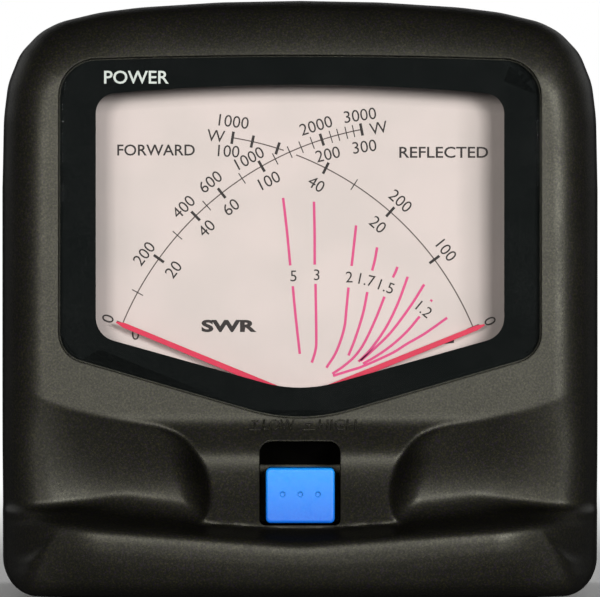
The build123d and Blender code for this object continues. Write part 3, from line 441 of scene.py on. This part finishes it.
def strip(bm, pts, width, y0, y1):
    """A stripe of constant width along the points, made of short closed prisms' outline quads."""
    pts = np.array(pts, float)
    d = np.gradient(pts, axis=0)
    d /= np.hypot(d[:, 0], d[:, 1])[:, None]
    n = np.stack([-d[:, 1], d[:, 0]], 1) * width / 2
    left, right = pts + n, pts - n
    rows = []
    for l, r in zip(left, right):
        rows.append([bm.verts.new(P(*l, y0)), bm.verts.new(P(*r, y0)), bm.verts.new(P(*r, y1)), bm.verts.new(P(*l, y1))])
    for a, b in zip(rows, rows[1:]):
        for i in range(4):
            j = (i + 1) % 4
            bm.faces.new((a[i], a[j], b[j], b[i]))
    bm.faces.new(rows[0][::-1])
    bm.faces.new(rows[-1])


def smooth_line(pts, step=0.35):
    """Points along a smooth curve through the given ones."""
    p = np.array(pts, float)
    if len(p) < 3:
        return p
    e = np.vstack([2 * p[0] - p[1], p, 2 * p[-1] - p[-2]])
    out = []
    for i in range(1, len(e) - 2):
        k = max(2, int(np.hypot(*(e[i + 1] - e[i])) / step))
        for t in np.linspace(0, 1, k, endpoint=False):
            a, b, c, d = e[i - 1:i + 3]
            out.append(0.5 * ((2 * b) + (c - a) * t + (2 * a - 5 * b + 4 * c - d) * t ** 2 + (3 * b - a - 3 * c + d) * t ** 3))
    out.append(p[-1])
    return np.array(out)


def letters(bm, text, x, u, y0, y1, height, turn=0.0, width=None, weight=0.0, fit=None):
    """Sans lettering as a thin solid, centred on (x, u), caps `height` mm tall."""
    cu = bpy.data.curves.new("t", "FONT")
    cu.body = text
    cu.size = 1.0
    cu.align_x = "CENTER"
    cu.offset = weight
    cu.resolution_u = 4
    ob = bpy.data.objects.new("t", cu)
    scene.collection.objects.link(ob)
    bpy.context.view_layer.update()
    me = bpy.data.meshes.new_from_object(ob.evaluated_get(bpy.context.evaluated_depsgraph_get()))
    bpy.data.objects.remove(ob)
    co = np.array([v.co for v in me.vertices], float).reshape(-1, 3)
    lo, hi = co.min(0), co.max(0)
    k = height / (hi[1] - lo[1])
    kx = k if width is None else width / (hi[0] - lo[0])
    px = (co[:, 0] - (lo[0] + hi[0]) / 2) * kx
    pu = (co[:, 1] - (lo[1] + hi[1]) / 2) * k
    c, s = math.cos(math.radians(turn)), math.sin(math.radians(turn))
    xs, us = x + px * c - pu * s, u + px * s + pu * c
    d0 = (lambda a, b: y0) if fit is None else (lambda a, b: fit(a, b) + y0)
    d1 = (lambda a, b: y1) if fit is None else (lambda a, b: fit(a, b) + y1)
    front = [bm.verts.new(P(a, b, d0(a, b))) for a, b in zip(xs, us)]
    back = [bm.verts.new(P(a, b, d1(a, b))) for a, b in zip(xs, us)]
    edges = {}
    for f in me.polygons:
        v = list(f.vertices)
        bm.faces.new([front[i] for i in v])
        bm.faces.new([back[i] for i in reversed(v)])
        for i, j in zip(v, v[1:] + v[:1]):
            edges[(i, j)] = edges.get((i, j), 0) + 1
    for i, j in edges:
        if (j, i) not in edges:
            bm.faces.new((front[j], front[i], back[i], back[j]))
    bpy.data.meshes.remove(me)


# ------------------------------------------------------------------ dial printing
INK_F, INK_B = DIAL - 0.035, DIAL - 0.004
ink = stuff("dial_ink_grey_black", (58, 52, 52), 0.6, 0.0, 0.15, 0.15, 0.2, 0.005, 0.0, spec=0.2)
ink_arc = stuff("dial_ink_arc", (98, 86, 84), 0.6, 0.0, 0.15, 0.15, 0.2, 0.005, 0.0, spec=0.2)
ink_red = stuff("dial_ink_rose", (224, 84, 140), 0.6, 0.0, 0.08, 0.15, 0.2, 0.005, 0.0, spec=0.2)

FC, FR = (20.59, 24.52), 54.71
RC, RR = (-19.74, 24.52), 53.02
FORWARD_TICKS = [("T", 157.53), ("t", 151.34), ("T", 144.26), ("t", 138.99), ("T", 134.3), ("t", 131.61), ("T", 128.17),
                 ("t", 123.72), ("T", 119.66), ("t", 116.92), ("t", 114.09), ("t", 111.9), ("t", 109.79), ("T", 107.99),
                 ("t", 106.33), ("t", 104.98), ("t", 103.51), ("t", 102.2), ("T", 100.76)]
REFLECTED_TICKS = [("T", 80.93), ("T", 77.25), ("T", 72.48), ("T", 62.97), ("t", 56.98), ("T", 48.73), ("T", 36.85), ("T", 22.54)]


def on(c, r, deg):
    return (c[0] + r * math.cos(math.radians(deg)), c[1] + r * math.sin(math.radians(deg)))


bm = bmesh.new()
for c, r, ticks in ((FC, FR, FORWARD_TICKS), (RC, RR, REFLECTED_TICKS)):
    for kind, a in ticks:
        w = 0.46 if kind == "T" else 0.17
        strip(bm, [on(c, r - 1.05, a), on(c, r + 1.05, a)], w, INK_F, INK_B)
piece("dial_tick_marks", bm, ink)

bm = bmesh.new()
for c, r, a, b in ((FC, FR, 157.53, 100.76), (RC, RR, 80.93, 71.3), (RC, RR, 68.9, 22.54)):
    strip(bm, [on(c, r, t) for t in np.linspace(a, b, int(abs(a - b)) + 2)], 0.2, INK_F + 0.006, INK_B)
piece("dial_scale_arcs", bm, ink_arc)

LABELS = [
    ("0", -32.42, 46.36, 70), ("200", -26.31, 57.33, 52), ("400", -19.66, 65.19, 45), ("600", -15.12, 69.45, 38),
    ("1000", -8.52, 73.46, 28), ("2000", 2.7, 78.93, 17), ("3000", 10.13, 80.69, 8), ("0", -27.76, 43.76, 0),
    ("20", -21.35, 54.65, 52), ("40", -15.78, 61.57, 45), ("60", -11.64, 65.19, 38), ("100", -5.18, 69.7, 27),
    ("200", 4.69, 74.1, 13), ("300", 10.88, 75.39, 8), ("W", 13.25, 78.53, 10), ("1000", -11.17, 79.61, -7),
    ("100", -12.03, 74.61, -4), ("W", -14.18, 77.18, -6), ("40", 2.75, 69.06, -31), ("200", 16.96, 66.22, -42),
    ("20", 13.15, 62.22, -42), ("100", 24.72, 57.85, -51), ("0", 32.08, 45.94, -65),
]
bm = bmesh.new()
for text, x, u, turn in LABELS:
    letters(bm, text, x, u, INK_F, INK_B, 2.0, turn, weight=0.0)
letters(bm, "FORWARD", -24.29, 74.8, INK_F, INK_B, 1.9, width=13.1, weight=0.012)
letters(bm, "REFLECTED", 24.26, 74.42, INK_F, INK_B, 1.9, width=15.0, weight=0.012)
letters(bm, "SWR", -11.98, 45.12, INK_F, INK_B, 2.1, width=9.3, weight=0.045)
for text, x, u, turn in (("5", -1.1, 53.55, 0), ("3", 2.82, 53.75, 0), ("2", 8.3, 53.38, 0), ("1.7", 11.29, 52.87, -12),
                         ("1.5", 14.56, 51.74, -20), ("1.2", 20.96, 47.88, -40)):
    letters(bm, text, x, u, INK_F, INK_B, 1.85, turn, weight=0.0)
prism(bm, [(24.2, 42.07), (26.0, 42.25), (26.0, 42.75), (24.2, 42.55)], INK_F, INK_B)
piece("dial_numerals", bm, ink)

CURVES = [
    ("5", [[(-2.85, 66.73), (-2.24, 61.48), (-1.64, 55.32)], [(-1.22, 51.83), (-0.76, 46.97), (-0.03, 40.39)]], (-1.1, 53.55), 0),
    ("3", [[(2.36, 66.09), (2.46, 60.98), (2.48, 55.46)], [(2.62, 52.23), (2.75, 43.47), (2.62, 41.06), (1.99, 38.92)]], (2.82, 53.75), 0),
    ("2", [[(9.47, 62.09), (8.83, 56.27), (8.69, 55.24)],
           [(8.18, 51.61), (7.86, 48.27), (7.54, 45.16), (6.83, 42.58), (5.86, 40.25), (4.44, 38.06)]], (8.3, 53.38), 0),
    ("1.7", [[(13.01, 58.39), (12.67, 56.42), (12.18, 54.46)], [(11.36, 50.85), (10.63, 47.22), (9.35, 43.09), (8.18, 40.12)]], (11.29, 52.87), -12),
    ("1.5", [[(16.45, 55.1), (16.12, 54.22), (15.68, 53.3)],
             [(14.26, 50.07), (12.83, 46.46), (11.02, 42.58), (9.47, 40.25), (7.66, 38.56), (5.47, 37.03)]], (14.56, 51.74), -20),
    ("", [[(18.18, 53.43), (16.45, 48.77), (14.38, 44.64), (11.8, 41.03), (9.86, 39.09)]], None, 0),
    ("", [[(20.96, 52.13), (18.51, 48.27), (15.41, 44.13), (12.83, 41.55), (10.24, 39.22)]], None, 0),
    ("1.2", [[(22.26, 49.55), (22.06, 49.26)], [(20.2, 46.72), (17.99, 44.13), (15.41, 41.8), (12.83, 40.0), (10.63, 38.75)]], (20.96, 47.88), -40),
    ("", [[(24.84, 46.5), (21.09, 43.86), (17.99, 42.06), (15.41, 40.47), (10.72, 38.36), (8.18, 37.52), (5.57, 36.69)]], None, 0),
]
bm = bmesh.new()
for label, segments, at, turn in CURVES:
    for i, seg in enumerate(segments):
        strip(bm, smooth_line(seg), 0.44, INK_F, INK_B)
piece("dial_ratio_curves", bm, ink_red)

# generic word printed in silver grey behind the window border
bm = bmesh.new()
letters(bm, "POWER", -27.35, 86.75, 2.44, 2.492, 2.2, width=10.8, weight=0.012)
piece("border_word", bm, stuff("print_silver_grey", (176, 182, 178), 0.45, 0.2, 0.1, 0.2, 0.1, 0.004, 0.0))

# ------------------------------------------------------------------ moulded front
SPLIT, WALL = 17.0, 2.4
LENS_HALF_W, LENS_TOP = 40.3, 90.4
BUTTON_U, POCKET_HALF_W, POCKET_LOW, POCKET_HIGH = 16.9, 6.75, 11.9, 26.0
SCREWS = [(-43.0, 8.0), (43.0, 8.0), (-43.0, 87.0), (43.0, 87.0)]
SHOULDER = [
    (50.0, 68.0), (49.75, 80.1), (49.05, 85.8), (47.0, 90.9), (43.6, 94.45),
    (40.3, 96.15), (33.6, 97.75), (26.8, 98.6), (13.4, 99.45), (0.0, CASE_H),
]
BOTTOM_R = 6.3


def profile(points, sigma=0.45):
    """A rounded curve through straight pieces, as a lookup on height."""
    u = np.arange(-20, 125, 0.05)
    p = np.array(sorted(points))
    y = np.interp(u, p[:, 0], p[:, 1])
    first = (p[1, 1] - p[0, 1]) / (p[1, 0] - p[0, 0])
    y = np.where(u < p[0, 0], p[0, 1] + first * (u - p[0, 0]), y)
    last = (p[-1, 1] - p[-2, 1]) / (p[-1, 0] - p[-2, 0])
    y = np.where(u > p[-1, 0], p[-1, 1] + last * (u - p[-1, 0]), y)
    k = np.exp(-0.5 * (np.arange(-60, 61) * 0.05 / sigma) ** 2)
    pad = np.concatenate([np.full(60, y[0]), y, np.full(60, y[-1])])
    y = np.convolve(pad, k / k.sum(), mode="valid")
    return lambda q: np.interp(q, u, y)


PLATEAU = profile([
    (4, 2.2), (12, -0.4), (15, -1.35), (17, -2.0), (19, -2.55), (20.8, -2.92), (22, -3.05), (23.2, -3.02), (24.2, -2.8),
    (25.4, -2.2), (28.6, -0.3), (29.8, 0.0), (40, 0.0),
])
CHIN = profile([
    (-12, -0.4), (-10, -1.9), (-8, -3.2), (-6, -4.25), (-4, -5.0), (-2, -5.45), (0, -5.6), (1.3, -5.5), (2.0, -5.2),
    (2.9, -2.8), (3.8, -0.4), (5.0, 1.4), (6.4, 3.1), (8, 5.2), (12, 10.4),
], 0.45)
EDGE_U = [8.0, 10.0, 11.9, 13.6, 15.1, 16.8, 19.0, 21.5, 23.4, 25.2, 26.4, 27.2, 28.5, 32.0]
EDGE_A = [22.0, 18.6, 16.5, 15.4, 14.9, 14.75, 14.9, 15.7, 16.7, 17.9, 19.0, 20.0, 22.5, 34.0]
FLOOR_SLOPE = 0.36


def smooth_min(p, q, k):
    h = np.clip(0.5 + 0.5 * (q - p) / k, 0, 1)
    return q * (1 - h) + p * h - k * h * (1 - h)


def ramp(x, lo, hi):
    t = np.clip((x - lo) / (hi - lo), 0, 1)
    return t * t * (3 - 2 * t)


def outline_points():
    """The case outline as a dense loop."""
    pts = []
    h = CASE_W / 2
    pts += [(x, 0.0) for x in np.linspace(0, h - BOTTOM_R, 60)]
    t = np.linspace(0, math.pi / 2, 30)[1:]
    pts += list(zip(h - BOTTOM_R + BOTTOM_R * np.sin(t), BOTTOM_R - BOTTOM_R * np.cos(t)))
    pts += [(h, z) for z in np.linspace(BOTTOM_R, SHOULDER[0][1], 80)[1:]]
    s = np.array(SHOULDER)
    d = np.concatenate([[0], np.cumsum(np.hypot(*np.diff(s, axis=0).T))])
    q = np.linspace(0, d[-1], 220)[1:]
    x, z = np.interp(q, d, s[:, 0]), np.interp(q, d, s[:, 1])
    k = np.ones(9) / 9
    xs, zs = x.copy(), z.copy()
    xs[4:-4], zs[4:-4] = np.convolve(x, k, "valid"), np.convolve(z, k, "valid")
    pts += list(zip(xs, zs))
    right = np.array(pts)
    left = right[::-1][1:-1] * [-1, 1]
    return np.vstack([right, left])


def edge_drop(x, u):
    """How far the rounded rim falls back: broad on top, tighter at the sides."""
    loop = outline_points()
    nxt = np.roll(loop, -1, axis=0)
    seg = nxt - loop
    mid = (loop + nxt) / 2
    ln = np.hypot(seg[:, 0], seg[:, 1])
    nrm = np.stack([seg[:, 1], -seg[:, 0]], 1) / ln[:, None]
    x, u = np.asarray(x, float), np.asarray(u, float)
    flat = np.stack([x.ravel(), u.ravel()], 1)
    out = np.zeros(len(flat))
    near = np.minimum.reduce([flat[:, 0] + 50, 50 - flat[:, 0], flat[:, 1], 99.7 - flat[:, 1]]) < 17.0
    rows_all = np.nonzero(near)[0]
    for i in range(0, len(rows_all), 2000):
        pick = rows_all[i:i + 2000]
        v = flat[pick][:, None, :] - mid[None]
        dist = np.hypot(v[..., 0], v[..., 1])
        j = dist.argmin(1)
        rows = np.arange(len(j))
        inward = -(v[rows, j] * nrm[j]).sum(1)
        w = np.exp(-(dist - dist[rows, j][:, None]) ** 2 / 2.0) * ln[None]
        nz = (w * nrm[None, :, 1]).sum(1) / w.sum(1)
        up, dn = np.clip(nz, 0, 1) ** 2, np.clip(-nz, 0, 1) ** 2
        wide = 7.8 + 3.2 * (1 - ramp(flat[pick, 1], 5, 27))
        rd = wide + (13.0 - wide) * up + (2.7 - wide) * dn
        ry = wide * 1.15 + (7.5 - wide * 1.15) * up + (2.6 - wide * 1.15) * dn
        s = (rd - inward) / (rd * 1.02)
        cap = 0.975
        c = np.clip(s, 0, cap)
        drop = ry * (1 - np.sqrt(1 - c ** 2))
        slope = ry * cap / math.sqrt(1 - cap ** 2)
        out[pick] = drop + np.clip(s - cap, 0, None) * slope
    return out.reshape(x.shape)


def relief(x, u):
    """Depth of the moulded front over the frame plane, without the rim."""
    a = np.abs(x)
    crest = 7.3 + 0.078 * (np.sqrt(np.minimum(a, 38) ** 2 + 9) - 3)
    fade = 1 - 0.85 * ramp(a, 32, 50)
    chin = CHIN(u - crest)
    chin = np.where(chin < 0, chin * fade, chin * (1 + 0.8 * ramp(a, 28, 42)))
    body = smooth_min(PLATEAU(u), chin, 0.5)
    crease = 27.5 + 0.235 * (a - 22.5) + 0.9 * ramp(a, 37, 46)
    run = crease - 17.0
    t = (crease - u) / run
    depth = run * FLOOR_SLOPE * (1 - 0.9 * ramp(a, 32, 50))
    inside = np.clip(t, 0, 1)
    floor = np.where(t < 0, 1.4 * depth * t, depth * (inside - inside ** 3.4 / 3.4))
    side = PLATEAU(u) + 1.25 * (a - np.interp(u, EDGE_U, EDGE_A))
    scoop = smooth_min(smooth_min(floor, side, 2.5), chin, 2.4 - 0.6 * ramp(a, 28, 36) + 2.2 * ramp(a, 38, 50))
    return np.maximum(body, scoop)


def skin(x, u, soft=0.3):
    x, u = np.asarray(x, float), np.asarray(u, float)
    steps = [-soft, -soft / 2, 0, soft / 2, soft]
    return sum(relief(x + a, u + b) for a in steps for b in steps) / 25 + edge_drop(x, u)


def moved_loop(loop, d):
    """A dense loop (counter-clockwise) moved outwards by d."""
    p = np.array(loop, float)
    t = np.roll(p, -1, axis=0) - np.roll(p, 1, axis=0)
    t /= np.hypot(t[:, 0], t[:, 1])[:, None]
    return p + np.stack([t[:, 1], -t[:, 0]], 1) * d


def rounded(corners, radii, n=14):
    """A polygon with its corners rounded, as a loop of points."""
    out = []
    c = [np.array(v, float) for v in corners]
    for i, r in enumerate(radii):
        a, b, d = c[i - 1], c[i], c[(i + 1) % len(c)]
        if r <= 0:
            out.append(b)
            continue
        e, f = (a - b) / np.linalg.norm(a - b), (d - b) / np.linalg.norm(d - b)
        half = math.acos(np.clip(e @ f, -1, 1)) / 2
        m = b + (e + f) / np.linalg.norm(e + f) * r / math.sin(half)
        p, q = b + e * r / math.tan(half), b + f * r / math.tan(half)
        t0, t1 = math.atan2(*(p - m)[::-1]), math.atan2(*(q - m)[::-1])
        turn = (t1 - t0 + math.pi) % (2 * math.pi) - math.pi
        out += [m + r * np.array([math.cos(t0 + turn * k / n), math.sin(t0 + turn * k / n)]) for k in range(n + 1)]
    return np.array(out)


def lens_loop():
    k, low = 0.289, 28.55
    s = 1.6 / LENS_HALF_W
    loop = rounded([(0, low), (LENS_HALF_W, low + k * LENS_HALF_W), (LENS_HALF_W, LENS_TOP - 0.8),
                    (0, LENS_TOP - 0.8 + s * LENS_HALF_W), (-LENS_HALF_W, LENS_TOP - 0.8), (-LENS_HALF_W, low + k * LENS_HALF_W)],
                   [30.0, 5.0, 6.4, 0, 6.4, 5.0], 18)
    out = []
    for i, p in enumerate(loop):
        q = loop[(i + 1) % len(loop)]
        if abs(p[0]) < 1e-6 and p[1] > 60:
            continue
        out.append(p)
        if p[1] > 80 and abs(p[0] - q[0]) > 20:
            for x in np.linspace(p[0], -p[0], 40)[1:-1]:
                out.append(np.array([x, LENS_TOP - 0.8 * (x / LENS_HALF_W) ** 2]))
    return np.array(out)


def solid_prism(name, loop, y0, y1):
    b = bmesh.new()
    prism(b, [tuple(p) for p in loop], y0, y1)
    bmesh.ops.triangulate(b, faces=b.faces)
    bmesh.ops.recalc_face_normals(b, faces=b.faces)
    me = bpy.data.meshes.new(name)
    b.to_mesh(me)
    b.free()
    o = bpy.data.objects.new(name, me)
    scene.collection.objects.link(o)
    return o


def solid_block(name, step, extra, back, soft):
    """Everything behind the moulded front surface, down to depth back."""
    xs = np.linspace(-51.5, 51.5, int(103 / step) + 1)
    us = np.linspace(-1.5, 101.2, int(102.7 / step) + 1)
    gx, gu = np.meshgrid(xs, us, indexing="ij")
    y = np.minimum(skin(gx, gu, soft) + extra, back - 0.3)
    nx, nu = gx.shape
    co = np.stack([gx, y + Y0, gu + ZB], -1).reshape(-1, 3) / 1000
    rear = co.copy()
    rear[:, 1] = (Y0 + back) / 1000
    idx = np.arange(nx * nu).reshape(nx, nu)
    q = np.stack([idx[:-1, :-1], idx[1:, :-1], idx[1:, 1:], idx[:-1, 1:]], -1).reshape(-1, 4)
    rim = np.concatenate([idx[:, 0], idx[-1, 1:], idx[::-1, -1][1:], idx[0, ::-1][1:-1]])
    n = nx * nu
    m = len(rim)
    verts = np.vstack([co, rear[rim]])
    walls = np.stack([np.roll(rim, -1), rim, n + np.arange(m), n + (np.arange(m) + 1) % m], -1)
    faces = [tuple(f) for f in q] + [tuple(f) for f in walls] + [tuple(n + m - 1 - np.arange(m))]
    me = bpy.data.meshes.new(name)
    me.from_pydata([tuple(v) for v in verts], [], faces)
    b = bmesh.new()
    b.from_mesh(me)
    bmesh.ops.triangulate(b, faces=b.faces)
    bmesh.ops.recalc_face_normals(b, faces=b.faces)
    b.to_mesh(me)
    b.free()
    o = bpy.data.objects.new(name, me)
    scene.collection.objects.link(o)
    return o


def cut(o, tool, how="DIFFERENCE"):
    m = o.modifiers.new("b", "BOOLEAN")
    m.object, m.operation = tool, how
    m.solver = "MANIFOLD"
    bpy.context.view_layer.update()
    new = bpy.data.meshes.new_from_object(o.evaluated_get(bpy.context.evaluated_depsgraph_get()))
    o.modifiers.clear()
    old = o.data
    o.data = new
    bpy.data.meshes.remove(old)
    bpy.data.objects.remove(tool)
    return o


def box_loop(cx, cu, w, h, r=0.0):
    c = [(cx - w / 2, cu - h / 2), (cx + w / 2, cu - h / 2), (cx + w / 2, cu + h / 2), (cx - w / 2, cu + h / 2)]
    return rounded(c, [r] * 4 if not isinstance(r, (list, tuple)) else r, 8)


def circle_loop(cx, cu, r, n=32):
    return [(cx + r * math.cos(a), cu + r * math.sin(a)) for a in np.linspace(0, 2 * math.pi, n, endpoint=False)]


LENS_LOOP = lens_loop()
CASE_LOOP = outline_points()
hollow = solid_block("hollow", 1.5, WALL, SPLIT + 1, 1.2)
cut(hollow, solid_prism("t", moved_loop(CASE_LOOP, -WALL), -12, SPLIT + 2), "INTERSECT")
cut(hollow, solid_prism("t", moved_loop(LENS_LOOP, 1.8), -13, 4.7))
cut(hollow, solid_prism("t", box_loop(0, (POCKET_LOW + POCKET_HIGH) / 2, 2 * POCKET_HALF_W + 2.4, POCKET_HIGH - POCKET_LOW + 2.4, 2.4), -13, 12.2))
for sx, su in SCREWS:
    cut(hollow, solid_prism("t", circle_loop(sx, su, 3.0), -13, SPLIT + 2))
    cut(hollow, solid_prism("t", box_loop(math.copysign(46.6, sx), su, 2.6, 3.2), -13, SPLIT + 2))
front = solid_block("front_moulding", 0.35, 0.0, SPLIT, 0.3)
cut(front, solid_prism("t", CASE_LOOP, -13, SPLIT + 1), "INTERSECT")
cut(front, hollow)
cut(front, solid_prism("t", LENS_LOOP, -13, 2.7))
cut(front, solid_prism("t", moved_loop(LENS_LOOP, -2.0), -13, 8.0))
cut(front, solid_prism("t", box_loop(0, (POCKET_LOW + POCKET_HIGH) / 2, 2 * POCKET_HALF_W, POCKET_HIGH - POCKET_LOW, [1.0, 1.0, 2.0, 2.0]), -13, 11.0))
b = bmesh.new()
ends = [[b.verts.new(P(x, u, y)) for y, u in ((0.5, 26.2), (11.3, 26.2), (11.3, 21.6))] for x in (-POCKET_HALF_W - 0.3, POCKET_HALF_W + 0.3)]
b.faces.new(ends[0])
b.faces.new(ends[1][::-1])
for i in range(3):
    j = (i + 1) % 3
    b.faces.new((ends[0][i], ends[1][i], ends[1][j], ends[0][j]))
bmesh.ops.triangulate(b, faces=b.faces)
bmesh.ops.recalc_face_normals(b, faces=b.faces)
me = bpy.data.meshes.new("wedge")
b.to_mesh(me)
b.free()
wedge = bpy.data.objects.new("wedge", me)
scene.collection.objects.link(wedge)
cut(front, wedge, "UNION")
cut(front, solid_prism("t", box_loop(0, BUTTON_U, 4.4, 4.4), 9.0, 14.0))
for sx, su in SCREWS:
    cut(front, solid_prism("t", circle_loop(sx, su, 1.45), 8.0, SPLIT + 1))
front.data.materials.clear()
front.data.materials.append(M["case"])
front.data.polygons.foreach_set("use_smooth", [True] * len(front.data.polygons))
front.data.set_sharp_from_angle(angle=math.radians(38))
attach(front, "case")
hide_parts("front_bezel")

# small raised words and push symbols above the button
bm = bmesh.new()
letters(bm, "LOW", -3.5, 28.75, -0.28, 0.12, 1.75, width=5.2, fit=skin)
letters(bm, "HIGH", 6.3, 28.75, -0.28, 0.12, 1.75, width=6.2, fit=skin)


def raised(bm, loop, y0, y1):
    a = [bm.verts.new(P(x, u, float(skin(x, u)) + y0)) for x, u in loop]
    b = [bm.verts.new(P(x, u, float(skin(x, u)) + y1)) for x, u in loop]
    bm.faces.new(a)
    bm.faces.new(b[::-1])
    for i in range(len(loop)):
        j = (i + 1) % len(loop)
        bm.faces.new((a[i], b[i], b[j], a[j]))


for cx, lift in ((-7.5, 0.55), (1.5, 0.0)):
    for x0, u0, w, h in ((-1.1, -0.75, 2.2, 0.28), (-0.55, 0.1 + lift, 1.1, 0.28), (-0.14, -0.45, 0.28, 0.55 + lift)):
        raised(bm, [(cx + x0, 28.55 + u0), (cx + x0 + w, 28.55 + u0), (cx + x0 + w, 28.55 + u0 + h), (cx + x0, 28.55 + u0 + h)], -0.28, 0.12)
piece("push_mode_marks", bm, M["case"])

# plain words on the back plate, written as seen from behind
bm = bmesh.new()
letters(bm, "TX", -22.0, 76.0, 80.04, 79.9, 3.0, weight=0.01)
letters(bm, "ANT", 22.0, 76.0, 80.04, 79.9, 3.0, weight=0.01)
letters(bm, "DC 13.8V", 0.0, 13.0, 80.04, 79.9, 2.3, weight=0.01)
for v in bm.verts:
    v.co.x = -v.co.x
piece("rear_words", bm, stuff("print_pale_grey", (206, 208, 204), 0.5, 0.0, 0.1, 0.2, 0.1, 0.004, 0.0))

# return spring of the push button
bm = bmesh.new()
TURNS, AROUND, LENGTH = 4, 10, 4.6
count = TURNS * 28 + 1
rings = []
for i in range(count):
    a = 2 * math.pi * i / 28
    c = Vector((1.35 * math.cos(a), LENGTH * i / (count - 1), 1.35 * math.sin(a)))
    out = Vector((math.cos(a), 0, math.sin(a)))
    along = Vector((-1.35 * math.sin(a) * 2 * math.pi / 28, LENGTH / (count - 1), 1.35 * math.cos(a) * 2 * math.pi / 28)).normalized()
    lift = along.cross(out)
    ring = []
    for k in range(AROUND):
        b = 2 * math.pi * k / AROUND
        q = c + 0.18 * (math.cos(b) * out + math.sin(b) * lift)
        ring.append(bm.verts.new(P(q.x, BUTTON_U + q.z, 17.6 + q.y)))
    rings.append(ring)
for r0, r1 in zip(rings, rings[1:]):
    for k in range(AROUND):
        n = (k + 1) % AROUND
        bm.faces.new((r0[k], r0[n], r1[n], r1[k]))
bm.faces.new(rings[0])
bm.faces.new(rings[-1][::-1])
coil = piece("return_spring", bm, M["steel"], smooth=50)
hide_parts("switch_spring")
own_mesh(coil)

# ------------------------------------------------------------------ camera, light, floor
D = 1.0
cam = bpy.data.cameras.new("camera")
cam.lens = 36 * D / 0.10068
cam.sensor_width = 36
cam.clip_start, cam.clip_end = 0.05, 50
cam_o = bpy.data.objects.new("camera", cam)
scene.collection.objects.link(cam_o)
cam_o.location = (0, (Y0 + 6) / 1000 - D, (ZB + 49.75) / 1000)
cam_o.rotation_euler = (math.radians(90), 0, 0)
scene.camera = cam_o

TARGET = Vector((0, (Y0 + 5) / 1000, (ZB + 50) / 1000))


def softbox(name, az, el, dist, w, h, watts, color=(1, 1, 1)):
    """An area light seen from the target at azimuth az (0 = in front, + = right), elevation el."""
    li = bpy.data.lights.new(name, "AREA")
    li.shape = "RECTANGLE"
    li.size, li.size_y = w, h
    li.energy = watts
    li.color = color
    o = bpy.data.objects.new(name, li)
    scene.collection.objects.link(o)
    a, e = math.radians(az), math.radians(el)
    d = Vector((math.sin(a) * math.cos(e), -math.cos(a) * math.cos(e), math.sin(e)))
    o.location = TARGET + d * dist
    o.rotation_euler = (-d).to_track_quat("-Z", "Y").to_euler()
    return o


softbox("key_right", 19, 7, 1.1, 0.28, 0.20, 9.5, (1.0, 0.99, 0.97))
softbox("key_left", -15, 7, 1.1, 0.24, 0.20, 5.5, (1.0, 0.97, 0.93))
softbox("rim_left", -128, 22, 1.0, 0.7, 0.6, 1.5)
softbox("rim_right", 128, 22, 1.0, 0.7, 0.6, 1.5)
softbox("back", 180, 32, 1.1, 1.0, 0.5, 3.6)

world = bpy.data.worlds.new("world")
scene.world = world
world.use_nodes = True
wt = world.node_tree
wt.nodes.clear()
wout = wt.nodes.new("ShaderNodeOutputWorld")
wmix = wt.nodes.new("ShaderNodeMixShader")
wa, wb = wt.nodes.new("ShaderNodeBackground"), wt.nodes.new("ShaderNodeBackground")
wa.inputs[0].default_value, wa.inputs[1].default_value = (0.9, 0.95, 1.0, 1), 0.02
wb.inputs[0].default_value, wb.inputs[1].default_value = (1, 1, 1, 1), 1.0
wp = wt.nodes.new("ShaderNodeLightPath")
wt.links.new(wp.outputs["Is Camera Ray"], wmix.inputs[0])
wt.links.new(wa.outputs[0], wmix.inputs[1])
wt.links.new(wb.outputs[0], wmix.inputs[2])
wt.links.new(wmix.outputs[0], wout.inputs[0])

# pale floor, fading into the white surround with distance
bm = bmesh.new()
rings = [0.0, 0.2, 0.5, 1.0, 2.0, 4.0, 9.0]
prev = None
for r in rings[1:]:
    ring = [bm.verts.new((r * math.cos(a), r * math.sin(a), 0.0)) for a in np.linspace(0, 2 * math.pi, 64, endpoint=False)]
    if prev is None:
        bm.faces.new(ring)
    else:
        for i in range(64):
            bm.faces.new((prev[i], prev[(i + 1) % 64], ring[(i + 1) % 64], ring[i]))
    prev = ring
me = bpy.data.meshes.new("floor")
bm.to_mesh(me)
bm.free()
floor = bpy.data.objects.new("floor", me)
scene.collection.objects.link(floor)
t = Tree("floor_paper")
ln = t.add("ShaderNodeVectorMath")
ln.operation = "LENGTH"
t.put(ln.inputs[0], t.coord)
far = t.remap(ln.outputs["Value"], 0.16, 0.60, 0.0, 1.0)
dif = t.add("ShaderNodeBsdfDiffuse")
t.put(dif.inputs["Color"], t.mix(t.noise(3.0, 4.0), (0.84, 0.84, 0.84, 1), (0.88, 0.88, 0.875, 1)))
em = t.add("ShaderNodeEmission")
em.inputs["Color"].default_value = (1, 1, 1, 1)
m1 = t.add("ShaderNodeMixShader")
t.put(m1.inputs[0], far)
t.put(m1.inputs[1], dif.outputs[0])
t.put(m1.inputs[2], em.outputs[0])
dark = t.add("ShaderNodeBsdfDiffuse")
dark.inputs["Color"].default_value = (0.3, 0.3, 0.3, 1)
path = t.add("ShaderNodeLightPath")
m2 = t.add("ShaderNodeMixShader")
t.put(m2.inputs[0], path.outputs["Is Camera Ray"])
t.put(m2.inputs[1], dark.outputs[0])
t.put(m2.inputs[2], m1.outputs[0])
floor.data.materials.append(t.surface(m2.outputs[0]))

scene.view_settings.view_transform = "Standard"
scene.view_settings.look = "None"
scene.view_settings.exposure = 0.0
scene.view_settings.gamma = 1.0
